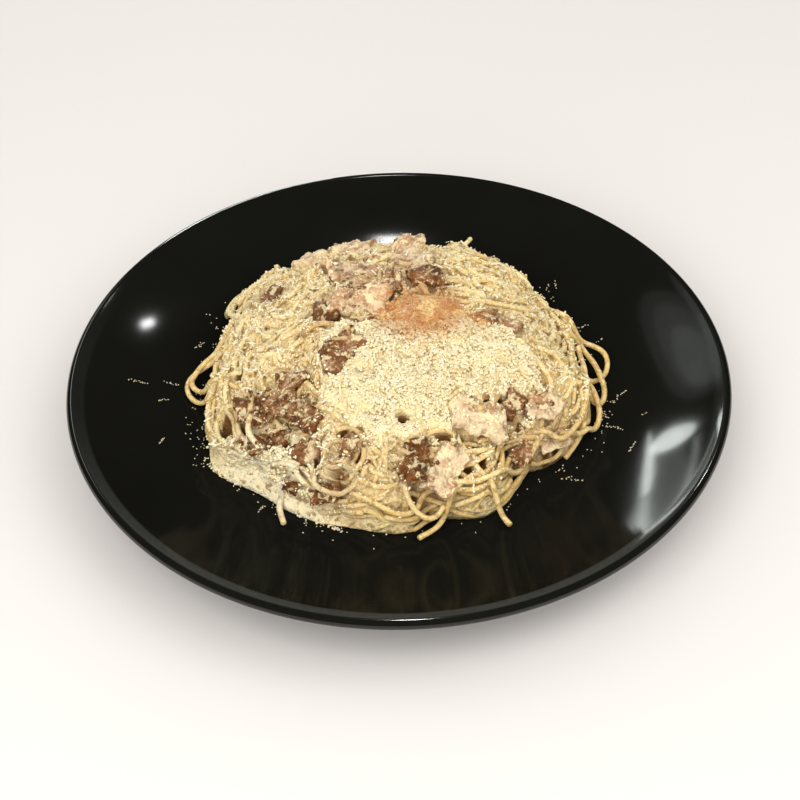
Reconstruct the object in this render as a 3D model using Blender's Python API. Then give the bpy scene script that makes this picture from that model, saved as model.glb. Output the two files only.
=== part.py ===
"""Spaghetti carbonara on its plate, in metres, Z up.

A round coupe plate stands on its foot ring, centred on the Z axis with its
underside at z = 0, and the diner sits at -Y.  On it lies an uneven heap of
spaghetti with loops and loose ends at its foot, an egg yolk in a hollow at
the top, a blanket of grated cheese over the middle and the front of the yolk,
and diced bacon in three clusters.  Everything that lies on something keeps a
small clearance to it.
"""

import math

import bmesh
import bpy
from mathutils import Matrix, Vector
from mathutils.bvhtree import BVHTree

# Plate: a turned profile.
PLATE_RADIUS = 0.130
WALL = 0.0045
FLOOR_Z = 0.0075
FLOOR_RADIUS = 0.060
RIM_RISE = 0.021  # from the floor to the inner edge of the lip
RIM_POWER = 1.9  # the wall starts level with the floor and steepens outwards
FOOT_INNER = 0.0655
FOOT_OUTER = 0.0715
FOOT_RECESS = 0.0028
PLATE_STEPS = 56
WALL_STEPS = 5
LIP_STEPS = 4

# Heap of spaghetti: a mound over an outline given by its distance from the centre.
CLEARANCE = 0.00035
PLATE_GAP = 0.0005
HEAP_CENTRE = (-0.0012, 0.0085)
HEAP_RADIUS = 0.0790
HEAP_HEIGHT = 0.0385
HEAP_EDGE = 0.0027  # one strand's thickness at the foot
HEAP_FLATNESS = 2.3
HEAP_ROUND = 0.70
HEAP_SPOKES = 66
HEAP_RINGS = 13
# (waves round the outline, share of the radius, angle of the first crest in degrees)
OUTLINE_WAVES = (
    (2, 0.010, 18.0),
    (3, 0.010, -12.0),
    (4, 0.008, -4.0),
    (5, 0.032, -4.0),
    (11, 0.010, 5.0),
    (17, 0.006, 0.0),
)
# (direction and half width in degrees, share of the radius): bays in the outline
OUTLINE_BAYS = (
    (4.0, 15.0, 0.105),
    (178.0, 22.0, 0.045),
    (-46.0, 7.0, 0.050),
)
# (x, y, spread, height): swells and hollows of the mound
SWELLS = (
    (-0.012, 0.048, 0.018, 0.0025),
    (0.032, 0.058, 0.016, 0.0030),
    (0.050, 0.000, 0.016, 0.0025),
    (-0.045, 0.022, 0.016, 0.0025),
    (-0.022, -0.052, 0.010, 0.0030),
    (0.020, -0.058, 0.013, 0.0020),
    (-0.047, -0.036, 0.013, -0.0030),
    (0.042, -0.043, 0.012, -0.0030),
    (0.012, 0.005, 0.016, -0.0045),
)
FURROWS = 15  # broad bundles of strands that wind round the mound
FURROW_DEPTH = 0.0020
FURROW_TWIST = 1.3

# Loops and loose ends of single strands at the foot of the heap.
STRAND_RADIUS = 0.00135
STRAND_SIDES = 6
# (x, y, height of the strand's centre over the plate) along each centre line; the height is
# at least the radius and the gap together
LOOPS = {
    "left": (
        (-0.062, 0.022, 0.011),
        (-0.072, 0.021, 0.009),
        (-0.080, 0.017, 0.005),
        (-0.0845, 0.011, 0.003),
        (-0.083, 0.004, 0.002),
        (-0.076, -0.001, 0.002),
        (-0.065, -0.003, 0.006),
    ),
    "upper_left": (
        (-0.047, 0.059, 0.008),
        (-0.058, 0.064, 0.007),
        (-0.066, 0.062, 0.006),
        (-0.0705, 0.054, 0.005),
        (-0.071, 0.044, 0.005),
        (-0.067, 0.034, 0.006),
    ),
    "right_upper": (
        (0.060, 0.038, 0.012),
        (0.072, 0.036, 0.009),
        (0.081, 0.031, 0.006),
        (0.0855, 0.023, 0.003),
        (0.084, 0.014, 0.002),
        (0.078, 0.007, 0.002),
        (0.067, 0.003, 0.006),
    ),
    "right_lower": (
        (0.066, 0.009, 0.010),
        (0.076, 0.008, 0.008),
        (0.082, 0.001, 0.006),
        (0.082, -0.008, 0.004),
        (0.078, -0.015, 0.002),
        (0.070, -0.020, 0.004),
    ),
}
LOOSE_ENDS = {
    "front_left": ((-0.047, -0.050, 0.004), (-0.0455, -0.058, 0.0025), (-0.0440, -0.065, 0.0019)),
    "front_right": ((0.026, -0.057, 0.004), (0.016, -0.066, 0.0022), (0.0065, -0.0735, 0.0019)),
    "front_far_right": ((0.028, -0.051, 0.004), (0.035, -0.060, 0.0025), (0.0405, -0.0685, 0.0019)),
    "back_knob": ((0.022, 0.074, 0.010), (0.028, 0.081, 0.011), (0.032, 0.086, 0.012)),
}

# Egg yolk in its hollow.
YOLK_CENTRE = (0.012, 0.005)
YOLK_RADIUS = 0.0175
YOLK_HALF_HEIGHT = 0.0085
YOLK_SINK = 0.0010
YOLK_SEGMENTS = 18
YOLK_RINGS = 8

# Grated cheese: a blanket of uneven outline.
CHEESE_CENTRE = (0.014, -0.017)
CHEESE_RADIUS = 0.0335
CHEESE_WAVES = ((2, 0.25, -4.0), (3, 0.10, 62.0), (5, 0.05, 10.0), (9, 0.035, 0.0))
CHEESE_BAYS = ((88.0, 34.0, 0.40), (-52.0, 20.0, 0.16), (-120.0, 30.0, -0.32))
CHEESE_THICKNESS = 0.0032
CHEESE_EDGE = 0.0018
CHEESE_SPOKES = 32
CHEESE_RINGS = 6
CHEESE_RELIEF = 0.0005
CHEESE_CRUMB_WAVES = (520.0, 610.0)  # radians for each metre along X and Y

# Diced bacon: (x, y, length, width, thickness, heading, pitch, roll, curl, lift)
# Angles are in degrees; curl is the bend along the length; lift raises the piece.
BACON = (
    # pile round the back of the top
    (-0.0360, 0.0590, 0.013, 0.008, 0.0050, 20, 6, 0, 12, 0.0016),
    (-0.0190, 0.0640, 0.015, 0.009, 0.0040, -12, 6, 10, 18, 0.0030),
    (0.0045, 0.0590, 0.013, 0.011, 0.0040, 62, 36, 0, 20, 0.0044),
    (-0.0150, 0.0430, 0.020, 0.014, 0.0038, 28, -10, -8, 30, 0.0016),
    (0.0060, 0.0440, 0.014, 0.009, 0.0036, -20, 8, 10, 25, 0.0012),
    (-0.0150, 0.0160, 0.021, 0.011, 0.0040, 6, 0, 22, 55, 0.0014),
    (-0.0020, 0.0280, 0.010, 0.008, 0.0036, 72, 10, 0, 15, 0.0012),
    (0.0115, 0.0310, 0.014, 0.008, 0.0042, 12, -6, 14, 20, 0.0012),
    (-0.0285, 0.0090, 0.012, 0.008, 0.0036, 78, 8, -10, 20, 0.0004),
    (-0.0215, -0.0110, 0.017, 0.010, 0.0042, 40, 6, 0, 25, 0.0008),
    (0.0400, 0.0085, 0.015, 0.006, 0.0036, -28, 0, 0, 20, 0.0006),
    (-0.0490, 0.0330, 0.009, 0.007, 0.0034, -50, 0, 0, 15, 0.0000),
    # left cluster
    (-0.0430, -0.0235, 0.013, 0.010, 0.0040, 62, 6, -6, 25, 0.0008),
    (-0.0565, -0.0265, 0.012, 0.009, 0.0038, -15, 0, 8, 20, 0.0006),
    (-0.0360, -0.0350, 0.014, 0.009, 0.0040, -40, -8, 6, 50, 0.0012),
    (-0.0490, -0.0390, 0.015, 0.008, 0.0036, 8, 0, -6, 25, 0.0004),
    (-0.0350, -0.0460, 0.010, 0.007, 0.0034, 35, 0, 0, 15, 0.0004),
    # right cluster
    (0.0290, -0.0350, 0.021, 0.013, 0.0042, -8, 0, -6, 22, 0.0008),
    (0.0425, -0.0270, 0.011, 0.008, 0.0040, 55, 8, 0, 20, 0.0008),
    (0.0550, -0.0250, 0.014, 0.009, 0.0038, -12, 0, 4, 25, 0.0006),
    (0.0465, -0.0385, 0.013, 0.008, 0.0038, 75, 6, 0, 25, 0.0006),
    (0.0590, -0.0320, 0.011, 0.007, 0.0034, 30, 0, 0, 15, 0.0004),
    # front pieces
    (0.0050, -0.0560, 0.016, 0.009, 0.0038, 82, -6, -10, 30, 0.0006),
    (0.0165, -0.0570, 0.018, 0.011, 0.0042, 68, 0, 8, 30, 0.0008),
    (-0.0280, -0.0590, 0.013, 0.007, 0.0036, 5, 0, 0, 20, 0.0002),
    (-0.0180, -0.0490, 0.009, 0.007, 0.0034, 50, 0, 0, 15, 0.0004),
    (-0.0420, -0.0535, 0.008, 0.006, 0.0032, -20, 0, 0, 15, 0.0002),
)
BACON_LENGTH_STEPS = 4
BACON_WIDTH_STEPS = 2
BACON_SINK = 0.0012  # how far a piece is pressed into the strands
BACON_LEVELLING = 0.25  # share of the slope that a piece doesn't follow
BACON_RAGGED = ((0.12, 5.1, 2.3), (0.08, 9.7, 1.7))  # share of the width, waves, shift for each piece
BACON_SLANT = 0.16
BACON_TAPER = 0.25
BACON_WARP = 0.12


def clear_scene():
    for obj in list(bpy.data.objects):
        bpy.data.objects.remove(obj, do_unlink=True)


def material(name, colour, roughness, metallic=0.0):
    made = bpy.data.materials.new(name)
    made.use_nodes = True
    shader = made.node_tree.nodes["Principled BSDF"]
    shader.inputs["Base Color"].default_value = (*colour, 1.0)
    shader.inputs["Roughness"].default_value = roughness
    shader.inputs["Metallic"].default_value = metallic
    return made


def add_mesh(name, points, faces, finish=None):
    mesh = bpy.data.meshes.new(name)
    mesh.from_pydata(points, [], faces)
    shell = bmesh.new()
    shell.from_mesh(mesh)
    bmesh.ops.triangulate(shell, faces=shell.faces)
    bmesh.ops.recalc_face_normals(shell, faces=shell.faces)
    shell.to_mesh(mesh)
    shell.free()
    mesh.shade_smooth()
    mesh.set_sharp_from_angle(angle=math.radians(40))
    obj = bpy.data.objects.new(name, mesh)
    bpy.context.scene.collection.objects.link(obj)
    if finish:
        mesh.materials.append(finish)
    return obj


def hide_helper(obj):
    obj.hide_render = True
    obj.display_type = "WIRE"


def boolean(obj, operation, other):
    modifier = obj.modifiers.new(f"{operation.lower()}_{other.name}", "BOOLEAN")
    modifier.operation = operation
    modifier.solver = "EXACT"
    modifier.object = other


def rings_closed(rings):
    """Points and faces over equal rings, with a fan to a pole at each end."""
    points = [rings[0][0]]
    starts = []
    for ring in rings[1:-1]:
        starts.append(len(points))
        points.extend(ring)
    points.append(rings[-1][0])
    count = len(rings[1])
    faces = []
    for spoke in range(count):
        after = (spoke + 1) % count
        faces.append((0, starts[0] + spoke, starts[0] + after))
        for near, far in zip(starts, starts[1:]):
            faces.append((near + spoke, far + spoke, far + after, near + after))
        faces.append((starts[-1] + spoke, len(points) - 1, starts[-1] + after))
    return points, faces


def wave_sum(waves, angle):
    return sum(share * math.cos(count * (angle - math.radians(crest))) for count, share, crest in waves)


def bay_sum(bays, angle):
    total = 0.0
    for direction, half_width, share in bays:
        off = math.remainder(angle - math.radians(direction), math.tau) / math.radians(half_width)
        total += share * math.exp(-(off**2))
    return total


# Plate ------------------------------------------------------------------


def rim_slope():
    return math.atan2(RIM_RISE * RIM_POWER, PLATE_RADIUS - FLOOR_RADIUS)


def rim_start():
    """Radius of the inner edge of the lip, whose bead reaches the plate's radius."""
    return PLATE_RADIUS - WALL / 2 * (1 + math.sin(rim_slope()))


def plate_z(radius):
    """Height of the plate's upper surface."""
    share = max(0.0, (radius - FLOOR_RADIUS) / (rim_start() - FLOOR_RADIUS))
    return FLOOR_Z + RIM_RISE * share**RIM_POWER


def plate_slope(radius):
    step = 1e-5
    return math.atan2(plate_z(radius + step) - plate_z(radius - step), 2 * step)


def under_point(radius):
    """Point of the underside a wall's thickness below the upper surface."""
    slope = plate_slope(radius)
    return radius + WALL * math.sin(slope), plate_z(radius) - WALL * math.cos(slope)


def plate_profile():
    """Radius and height from the centre of the floor, over the lip, to the centre beneath."""
    span = rim_start() - FLOOR_RADIUS
    wall = [FLOOR_RADIUS + span * step / WALL_STEPS for step in range(WALL_STEPS + 1)]
    profile = [(0.0, FLOOR_Z), (FLOOR_RADIUS / 2, FLOOR_Z)]
    profile += [(radius, plate_z(radius)) for radius in wall]
    inner = Vector((wall[-1], plate_z(wall[-1])))
    outer = Vector(under_point(wall[-1]))
    centre = (inner + outer) / 2
    start = math.atan2(inner.y - centre.y, inner.x - centre.x)
    for step in range(1, LIP_STEPS):
        turn = start - math.pi * step / LIP_STEPS
        profile.append((centre.x + WALL / 2 * math.cos(turn), centre.y + WALL / 2 * math.sin(turn)))
    profile += [under_point(radius) for radius in reversed(wall[2:])]
    foot_top = under_point(FOOT_OUTER)[1]
    profile += [
        (FOOT_OUTER + 0.0010, foot_top),
        (FOOT_OUTER, 0.0),
        (FOOT_INNER, 0.0),
        (FOOT_INNER - 0.0010, FOOT_RECESS),
        (0.0, FOOT_RECESS),
    ]
    return profile


def make_plate(finish):
    rings = []
    for radius, height in plate_profile():
        turns = [math.tau * step / PLATE_STEPS for step in range(PLATE_STEPS)] if radius else [0.0]
        rings.append([(radius * math.cos(turn), radius * math.sin(turn), height) for turn in turns])
    return add_mesh("plate", *rings_closed(rings), finish)


# Spaghetti --------------------------------------------------------------


def heap_reach(angle):
    return HEAP_RADIUS * (1 + wave_sum(OUTLINE_WAVES, angle) - bay_sum(OUTLINE_BAYS, angle))


def swell(x, y):
    return sum(
        height * math.exp(-((x - at_x) ** 2 + (y - at_y) ** 2) / (2 * spread**2))
        for at_x, at_y, spread, height in SWELLS
    )


def heap_top(share, angle):
    """Point of the mound's upper surface at a share of the way out to its outline."""
    reach = heap_reach(angle) * share
    x = HEAP_CENTRE[0] + reach * math.cos(angle)
    y = HEAP_CENTRE[1] + reach * math.sin(angle)
    mound = HEAP_HEIGHT * (1 - share**HEAP_FLATNESS) ** HEAP_ROUND
    inside = 1 - share**8
    furrow = FURROW_DEPTH * math.sin(FURROWS * angle + FURROWS * FURROW_TWIST * share) * inside * share
    z = plate_z(math.hypot(x, y)) + PLATE_GAP + HEAP_EDGE + mound + swell(x, y) * inside + furrow
    return x, y, z


def heap_rings(lift=0.0):
    """Rings of the mound from the middle of its top, over its edge, to the middle beneath."""
    angles = [math.tau * spoke / HEAP_SPOKES for spoke in range(HEAP_SPOKES)]
    rings = [[heap_top(0.0, 0.0)]]
    for ring in range(1, HEAP_RINGS + 1):
        share = math.sin(math.pi / 2 * ring / HEAP_RINGS)
        rings.append([heap_top(share, angle) for angle in angles])
    for share in (0.985, 0.8, 0.6, 0.3):
        under = []
        for angle in angles:
            x, y, _ = heap_top(share, angle)
            under.append((x, y, plate_z(math.hypot(x, y)) + PLATE_GAP))
        rings.append(under)
    rings.append([(*HEAP_CENTRE, FLOOR_Z + PLATE_GAP)])
    return [[(x, y, z + lift) for x, y, z in ring] for ring in rings]


def smooth_line(points, steps):
    """Points on a Catmull-Rom curve through the given ones."""
    ends = [2 * points[0] - points[1], *points, 2 * points[-1] - points[-2]]
    line = []
    for before, start, end, after in zip(ends, ends[1:], ends[2:], ends[3:]):
        for step in range(steps):
            t = step / steps
            line.append(
                0.5
                * (
                    2 * start
                    + (end - before) * t
                    + (2 * before - 5 * start + 4 * end - after) * t**2
                    + (3 * start - before - 3 * end + after) * t**3
                )
            )
    line.append(points[-1])
    return line


def make_strand(name, route):
    """A strand's round tube; the route's heights are over the plate."""
    guide = [Vector((x, y, plate_z(math.hypot(x, y)) + over)) for x, y, over in route]
    line = smooth_line(guide, 2)
    side = Vector((0, 0, 1))
    rings = [[tuple(line[0])]]
    for index, point in enumerate(line):
        ahead = line[min(index + 1, len(line) - 1)] - line[max(index - 1, 0)]
        across = ahead.cross(side).normalized()
        upward = across.cross(ahead).normalized()
        turns = [math.tau * step / STRAND_SIDES for step in range(STRAND_SIDES)]
        rings.append(
            [tuple(point + STRAND_RADIUS * (math.cos(t) * across + math.sin(t) * upward)) for t in turns]
        )
    rings.append([tuple(line[-1])])
    strand = add_mesh(name, *rings_closed(rings))
    hide_helper(strand)
    return strand


def make_heap(finish):
    heap = add_mesh("spaghetti_heap", *rings_closed(heap_rings()), finish)
    for name, route in {**LOOPS, **LOOSE_ENDS}.items():
        boolean(heap, "UNION", make_strand(f"strand_{name}", route))
    return heap


# What lies on the spaghetti ----------------------------------------------


def make_surface_cutter():
    """The mound raised by the clearance, which trims what is pressed into it."""
    cutter = add_mesh("mound_clearance", *rings_closed(heap_rings(CLEARANCE)))
    hide_helper(cutter)
    return cutter


def surface_tree(obj):
    return BVHTree.FromPolygons(
        [vertex.co for vertex in obj.data.vertices],
        [tuple(polygon.vertices) for polygon in obj.data.polygons],
    )


def drop_on(tree, x, y):
    """Where a plumb line at x, y first meets the surface, and the normal there; None, None beside it."""
    return tree.ray_cast(Vector((x, y, 1.0)), Vector((0, 0, -1)))[:2]


def yolk_rings(mound_tree, grow=0.0):
    middle = drop_on(mound_tree, *YOLK_CENTRE)[0].z + YOLK_SINK
    radius, half = YOLK_RADIUS + grow, YOLK_HALF_HEIGHT + grow
    rings = []
    for ring in range(YOLK_RINGS + 1):
        fall = math.pi * ring / YOLK_RINGS
        reach = radius * math.sin(fall)
        count = YOLK_SEGMENTS if 0 < ring < YOLK_RINGS else 1
        turns = [math.tau * step / YOLK_SEGMENTS for step in range(count)]
        rings.append(
            [
                (
                    YOLK_CENTRE[0] + reach * math.cos(turn),
                    YOLK_CENTRE[1] + reach * math.sin(turn),
                    middle + half * math.cos(fall),
                )
                for turn in turns
            ]
        )
    return rings


def make_yolk(mound, mound_tree, finish):
    """The yolk, trimmed by the mound, and its own clearance, which is returned."""
    yolk = add_mesh("egg_yolk", *rings_closed(yolk_rings(mound_tree)), finish)
    boolean(yolk, "DIFFERENCE", mound)
    clear = add_mesh("yolk_clearance", *rings_closed(yolk_rings(mound_tree, CLEARANCE)))
    hide_helper(clear)
    return clear


def bacon_box(length, width, thickness, curl, seed, grow=0.0):
    """A slab bent along its length, with an uneven outline, as points and faces."""
    length, width, thickness = (size + 2 * grow for size in (length, width, thickness))
    box = bmesh.new()
    bmesh.ops.create_cube(box, size=1.0)
    along = [edge for edge in box.edges if abs((edge.verts[0].co - edge.verts[1].co).x) > 0.5]
    bmesh.ops.subdivide_edges(box, edges=along, cuts=BACON_LENGTH_STEPS - 1, use_grid_fill=True)
    across = [edge for edge in box.edges if abs((edge.verts[0].co - edge.verts[1].co).y) > 0.5]
    bmesh.ops.subdivide_edges(box, edges=across, cuts=BACON_WIDTH_STEPS - 1, use_grid_fill=True)
    bend = math.radians(curl)
    arm = length / bend
    for vertex in box.verts:
        x, y, z = vertex.co
        ragged = sum(share * math.sin(waves * x + shift * seed) for share, waves, shift in BACON_RAGGED)
        taper = 1 - BACON_TAPER * (2 * x) ** 2 * (0.5 + 0.5 * math.sin(seed))
        warp = BACON_WARP * math.sin(6 * x + seed) * y
        turn = bend * (x + BACON_SLANT * math.sin(1.3 * seed) * y)
        reach = arm - thickness * taper * z
        height = arm - reach * math.cos(turn) - thickness * warp
        vertex.co = Vector((reach * math.sin(turn), width * y * (1 + ragged), height))
    points = [vertex.co.copy() for vertex in box.verts]
    faces = [[vertex.index for vertex in face.verts] for face in box.faces]
    box.free()
    return points, faces


def bacon_place(mound_tree, row):
    """The matrix that lays a piece on the mound, turned, pitched and rolled from the slope."""
    x, y, _, _, thickness, heading, pitch, roll, _, lift = row
    ground, normal = drop_on(mound_tree, x, y)
    up = Vector((0, 0, 1))
    upright = up.rotation_difference(normal.lerp(up, BACON_LEVELLING).normalized())
    turned = (
        Matrix.Rotation(math.radians(heading), 4, "Z")
        @ Matrix.Rotation(math.radians(-pitch), 4, "Y")
        @ Matrix.Rotation(math.radians(roll), 4, "X")
    )
    middle = Vector((x, y, ground.z + thickness / 2 - BACON_SINK + lift))
    return Matrix.Translation(middle) @ upright.to_matrix().to_4x4() @ turned


def world_box(obj):
    corners = [vertex.co for vertex in obj.data.vertices]
    return [(min(c[k] for c in corners), max(c[k] for c in corners)) for k in range(3)]


def near(one, other):
    return all(a[0] < b[1] and b[0] < a[1] for a, b in zip(world_box(one), world_box(other)))


def make_bacon(mound_tree, cutters, finish):
    """The pieces in turn; each gives way to the mound, the yolk and the pieces laid before it."""
    before = list(cutters)
    for number, row in enumerate(BACON, 1):
        length, width, thickness, curl = row[2], row[3], row[4], row[8]
        place = bacon_place(mound_tree, row)
        shapes = []
        for name, grow in ((f"bacon_{number:02d}", 0.0), (f"bacon_clearance_{number:02d}", CLEARANCE)):
            points, faces = bacon_box(length, width, thickness, curl, number, grow)
            shapes.append(add_mesh(name, [place @ point for point in points], faces))
        piece, clear = shapes
        piece.data.materials.append(finish)
        hide_helper(clear)
        for cutter in before:
            if near(piece, cutter):
                boolean(piece, "DIFFERENCE", cutter)
        before.append(clear)
    return before


def make_cheese(mound_tree, yolk_tree, cutters, finish):
    """The blanket's top follows what it covers; its underside is trimmed by it."""
    angles = [math.tau * spoke / CHEESE_SPOKES for spoke in range(CHEESE_SPOKES)]

    def point(share, angle, top):
        reach = CHEESE_RADIUS * share
        reach *= 1 + wave_sum(CHEESE_WAVES, angle) - bay_sum(CHEESE_BAYS, angle)
        x = CHEESE_CENTRE[0] + reach * math.cos(angle)
        y = CHEESE_CENTRE[1] + reach * math.sin(angle)
        ground = drop_on(mound_tree, x, y)[0].z
        if not top:
            return x, y, ground - CHEESE_THICKNESS
        yolk = drop_on(yolk_tree, x, y)[0]
        covered = max(ground, yolk.z) if yolk else ground
        wave_x, wave_y = CHEESE_CRUMB_WAVES
        crumbs = CHEESE_RELIEF * math.sin(wave_x * x + 3) * math.sin(wave_y * y + 1)
        return x, y, covered + CHEESE_EDGE + (CHEESE_THICKNESS - CHEESE_EDGE) * (1 - share**4) + crumbs

    shares = [(ring + 1) / CHEESE_RINGS for ring in range(CHEESE_RINGS)]
    rings = [[point(0.0, 0.0, True)]]
    rings += [[point(share, angle, True) for angle in angles] for share in shares]
    rings += [[point(share, angle, False) for angle in angles] for share in (1.0, 0.5)]
    rings.append([point(0.0, 0.0, False)])
    cheese = add_mesh("grated_cheese", *rings_closed(rings), finish)
    for cutter in cutters:
        if near(cheese, cutter):
            boolean(cheese, "DIFFERENCE", cutter)


def main():
    clear_scene()
    glaze = material("black_glaze", (0.010, 0.010, 0.008), 0.12)
    pasta = material("egg_pasta", (0.72, 0.54, 0.27), 0.45)
    yolk = material("egg_yolk", (0.72, 0.31, 0.06), 0.15)
    cheese = material("grated_cheese", (0.86, 0.73, 0.45), 0.75)
    bacon = material("fried_bacon", (0.52, 0.26, 0.15), 0.40)

    make_plate(glaze)
    make_heap(pasta)
    mound = make_surface_cutter()
    mound_tree = surface_tree(mound)
    yolk_clear = make_yolk(mound, mound_tree, yolk)
    cutters = make_bacon(mound_tree, [mound, yolk_clear], bacon)
    make_cheese(mound_tree, surface_tree(yolk_clear), cutters, cheese)


main()
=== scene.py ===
"""Spaghetti carbonara on its black plate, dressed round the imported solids.

Everything is in metres, Z up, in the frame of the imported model.  The plate and
the bacon keep the places of their solids.  The heap is made of single strands
that are laid one after another on what lies there already, and the grated
cheese of single shreds and crumbs that come to rest on the strands.
"""

import math
from collections import namedtuple

import bpy
import numpy as np
from bpy.props import FloatProperty, FloatVectorProperty, IntProperty, PointerProperty
from mathutils import Matrix, Vector, noise
from mathutils.bvhtree import BVHTree


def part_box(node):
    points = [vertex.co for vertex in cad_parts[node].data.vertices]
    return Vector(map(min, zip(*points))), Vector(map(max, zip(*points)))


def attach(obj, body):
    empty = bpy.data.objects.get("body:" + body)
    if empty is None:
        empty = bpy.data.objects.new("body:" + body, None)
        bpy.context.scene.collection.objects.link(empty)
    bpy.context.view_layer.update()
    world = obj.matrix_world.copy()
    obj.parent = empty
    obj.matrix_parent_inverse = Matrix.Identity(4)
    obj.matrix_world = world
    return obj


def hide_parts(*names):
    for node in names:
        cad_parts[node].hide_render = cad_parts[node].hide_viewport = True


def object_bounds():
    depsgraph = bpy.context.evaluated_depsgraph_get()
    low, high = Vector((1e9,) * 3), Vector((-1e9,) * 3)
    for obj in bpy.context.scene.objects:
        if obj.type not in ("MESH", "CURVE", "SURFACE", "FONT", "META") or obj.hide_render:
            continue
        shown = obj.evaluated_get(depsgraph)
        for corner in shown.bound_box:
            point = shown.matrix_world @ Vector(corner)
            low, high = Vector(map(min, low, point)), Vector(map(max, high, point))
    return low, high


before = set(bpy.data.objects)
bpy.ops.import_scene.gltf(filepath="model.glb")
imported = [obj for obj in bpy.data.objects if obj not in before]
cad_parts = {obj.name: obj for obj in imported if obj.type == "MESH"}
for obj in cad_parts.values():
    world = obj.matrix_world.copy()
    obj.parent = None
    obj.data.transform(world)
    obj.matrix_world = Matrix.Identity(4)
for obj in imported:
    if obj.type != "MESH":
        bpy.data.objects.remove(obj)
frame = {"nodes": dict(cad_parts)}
CAD_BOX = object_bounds()

bl_info = {
    "name": "Spaghetti Carbonara",
    "version": (1, 0, 0),
    "blender": (4, 5, 0),
    "location": "3D View > Sidebar > Carbonara",
    "description": "Dresses a plate of spaghetti carbonara with strands, bacon, yolk and cheese",
    "category": "Add Mesh",
}

BODY = "root"
PLATE_RADIUS = CAD_BOX[1].x
WALL = 0.0045
FLOOR_Z = 0.0075
FLOOR_RADIUS = 0.060
RIM_RISE = 0.021
RIM_POWER = 1.9
FOOT_INNER = 0.0655
FOOT_OUTER = 0.0715
FOOT_RECESS = 0.0028

HEAP_CENTRE = np.array((-0.0012, 0.0085))
HEAP_RADIUS = 0.0790
# (waves round the outline, share of the radius, angle of the first crest in degrees)
OUTLINE_WAVES = (
    (2, 0.010, 18.0),
    (3, 0.010, -12.0),
    (4, 0.008, -4.0),
    (5, 0.032, -4.0),
    (11, 0.010, 5.0),
    (17, 0.006, 0.0),
)
# (direction and half width in degrees, share of the radius)
OUTLINE_BAYS = (
    (4.0, 15.0, 0.105),
    (178.0, 22.0, 0.045),
    (-46.0, 7.0, 0.050),
)
# Bays that only the strands have
STRAND_BAYS = (
    (129.0, 9.0, 0.055),
    (230.0, 11.0, 0.070),
    (284.0, 8.0, 0.045),
    (279.0, 5.0, 0.050),
    (310.0, 8.0, 0.055),
    (130.0, 10.0, 0.060),
    (77.0, 9.0, 0.075),
)

# Single strands at the foot: (x, y, height of the strand's centre over the plate)
LOOPS = {
    "left": (
        (-0.062, 0.022, 0.011),
        (-0.072, 0.018, 0.009),
        (-0.080, 0.016, 0.005),
        (-0.0848, 0.0105, 0.003),
        (-0.0840, 0.0035, 0.002),
        (-0.077, -0.0015, 0.002),
        (-0.066, -0.003, 0.006),
    ),
    "left_inner": (
        (-0.063, 0.030, 0.010),
        (-0.0735, 0.022, 0.007),
        (-0.0815, 0.013, 0.0055),
        (-0.0830, 0.0065, 0.0050),
        (-0.0760, 0.0005, 0.0050),
        (-0.064, -0.008, 0.007),
    ),
    "upper_left": (
        (-0.046, 0.058, 0.009),
        (-0.0565, 0.0610, 0.008),
        (-0.064, 0.0602, 0.0065),
        (-0.0700, 0.0535, 0.005),
        (-0.0704, 0.0440, 0.005),
        (-0.067, 0.034, 0.006),
    ),
    "right_upper": (
        (0.058, 0.040, 0.013),
        (0.0665, 0.0325, 0.009),
        (0.0735, 0.0262, 0.008),
        (0.0800, 0.0245, 0.006),
        (0.0845, 0.0200, 0.004),
        (0.0838, 0.0125, 0.002),
        (0.0780, 0.0075, 0.002),
        (0.067, 0.002, 0.006),
    ),
    "right_inner": (
        (0.061, 0.020, 0.012),
        (0.0680, 0.0225, 0.009),
        (0.0738, 0.0218, 0.0075),
        (0.0785, 0.0165, 0.006),
        (0.0812, 0.0080, 0.0045),
        (0.0822, 0.0010, 0.003),
        (0.0798, -0.0055, 0.002),
        (0.0710, -0.0080, 0.006),
    ),
    "right_lower": (
        (0.062, -0.002, 0.010),
        (0.0700, -0.0045, 0.008),
        (0.0765, -0.0065, 0.006),
        (0.0790, -0.0110, 0.004),
        (0.0770, -0.0185, 0.002),
        (0.0700, -0.0270, 0.004),
    ),
}
LOOSE_ENDS = {
    "front_left": ((-0.047, -0.050, 0.004), (-0.0455, -0.058, 0.0025), (-0.0440, -0.065, 0.0019)),
    "front_right": ((0.026, -0.057, 0.004), (0.016, -0.066, 0.0022), (0.0065, -0.0735, 0.0019)),
    "front_far_right": ((0.028, -0.051, 0.004), (0.035, -0.060, 0.0025), (0.0405, -0.0685, 0.0019)),
    "back_knob": ((0.022, 0.074, 0.010), (0.028, 0.081, 0.011), (0.032, 0.086, 0.012)),
}
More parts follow.
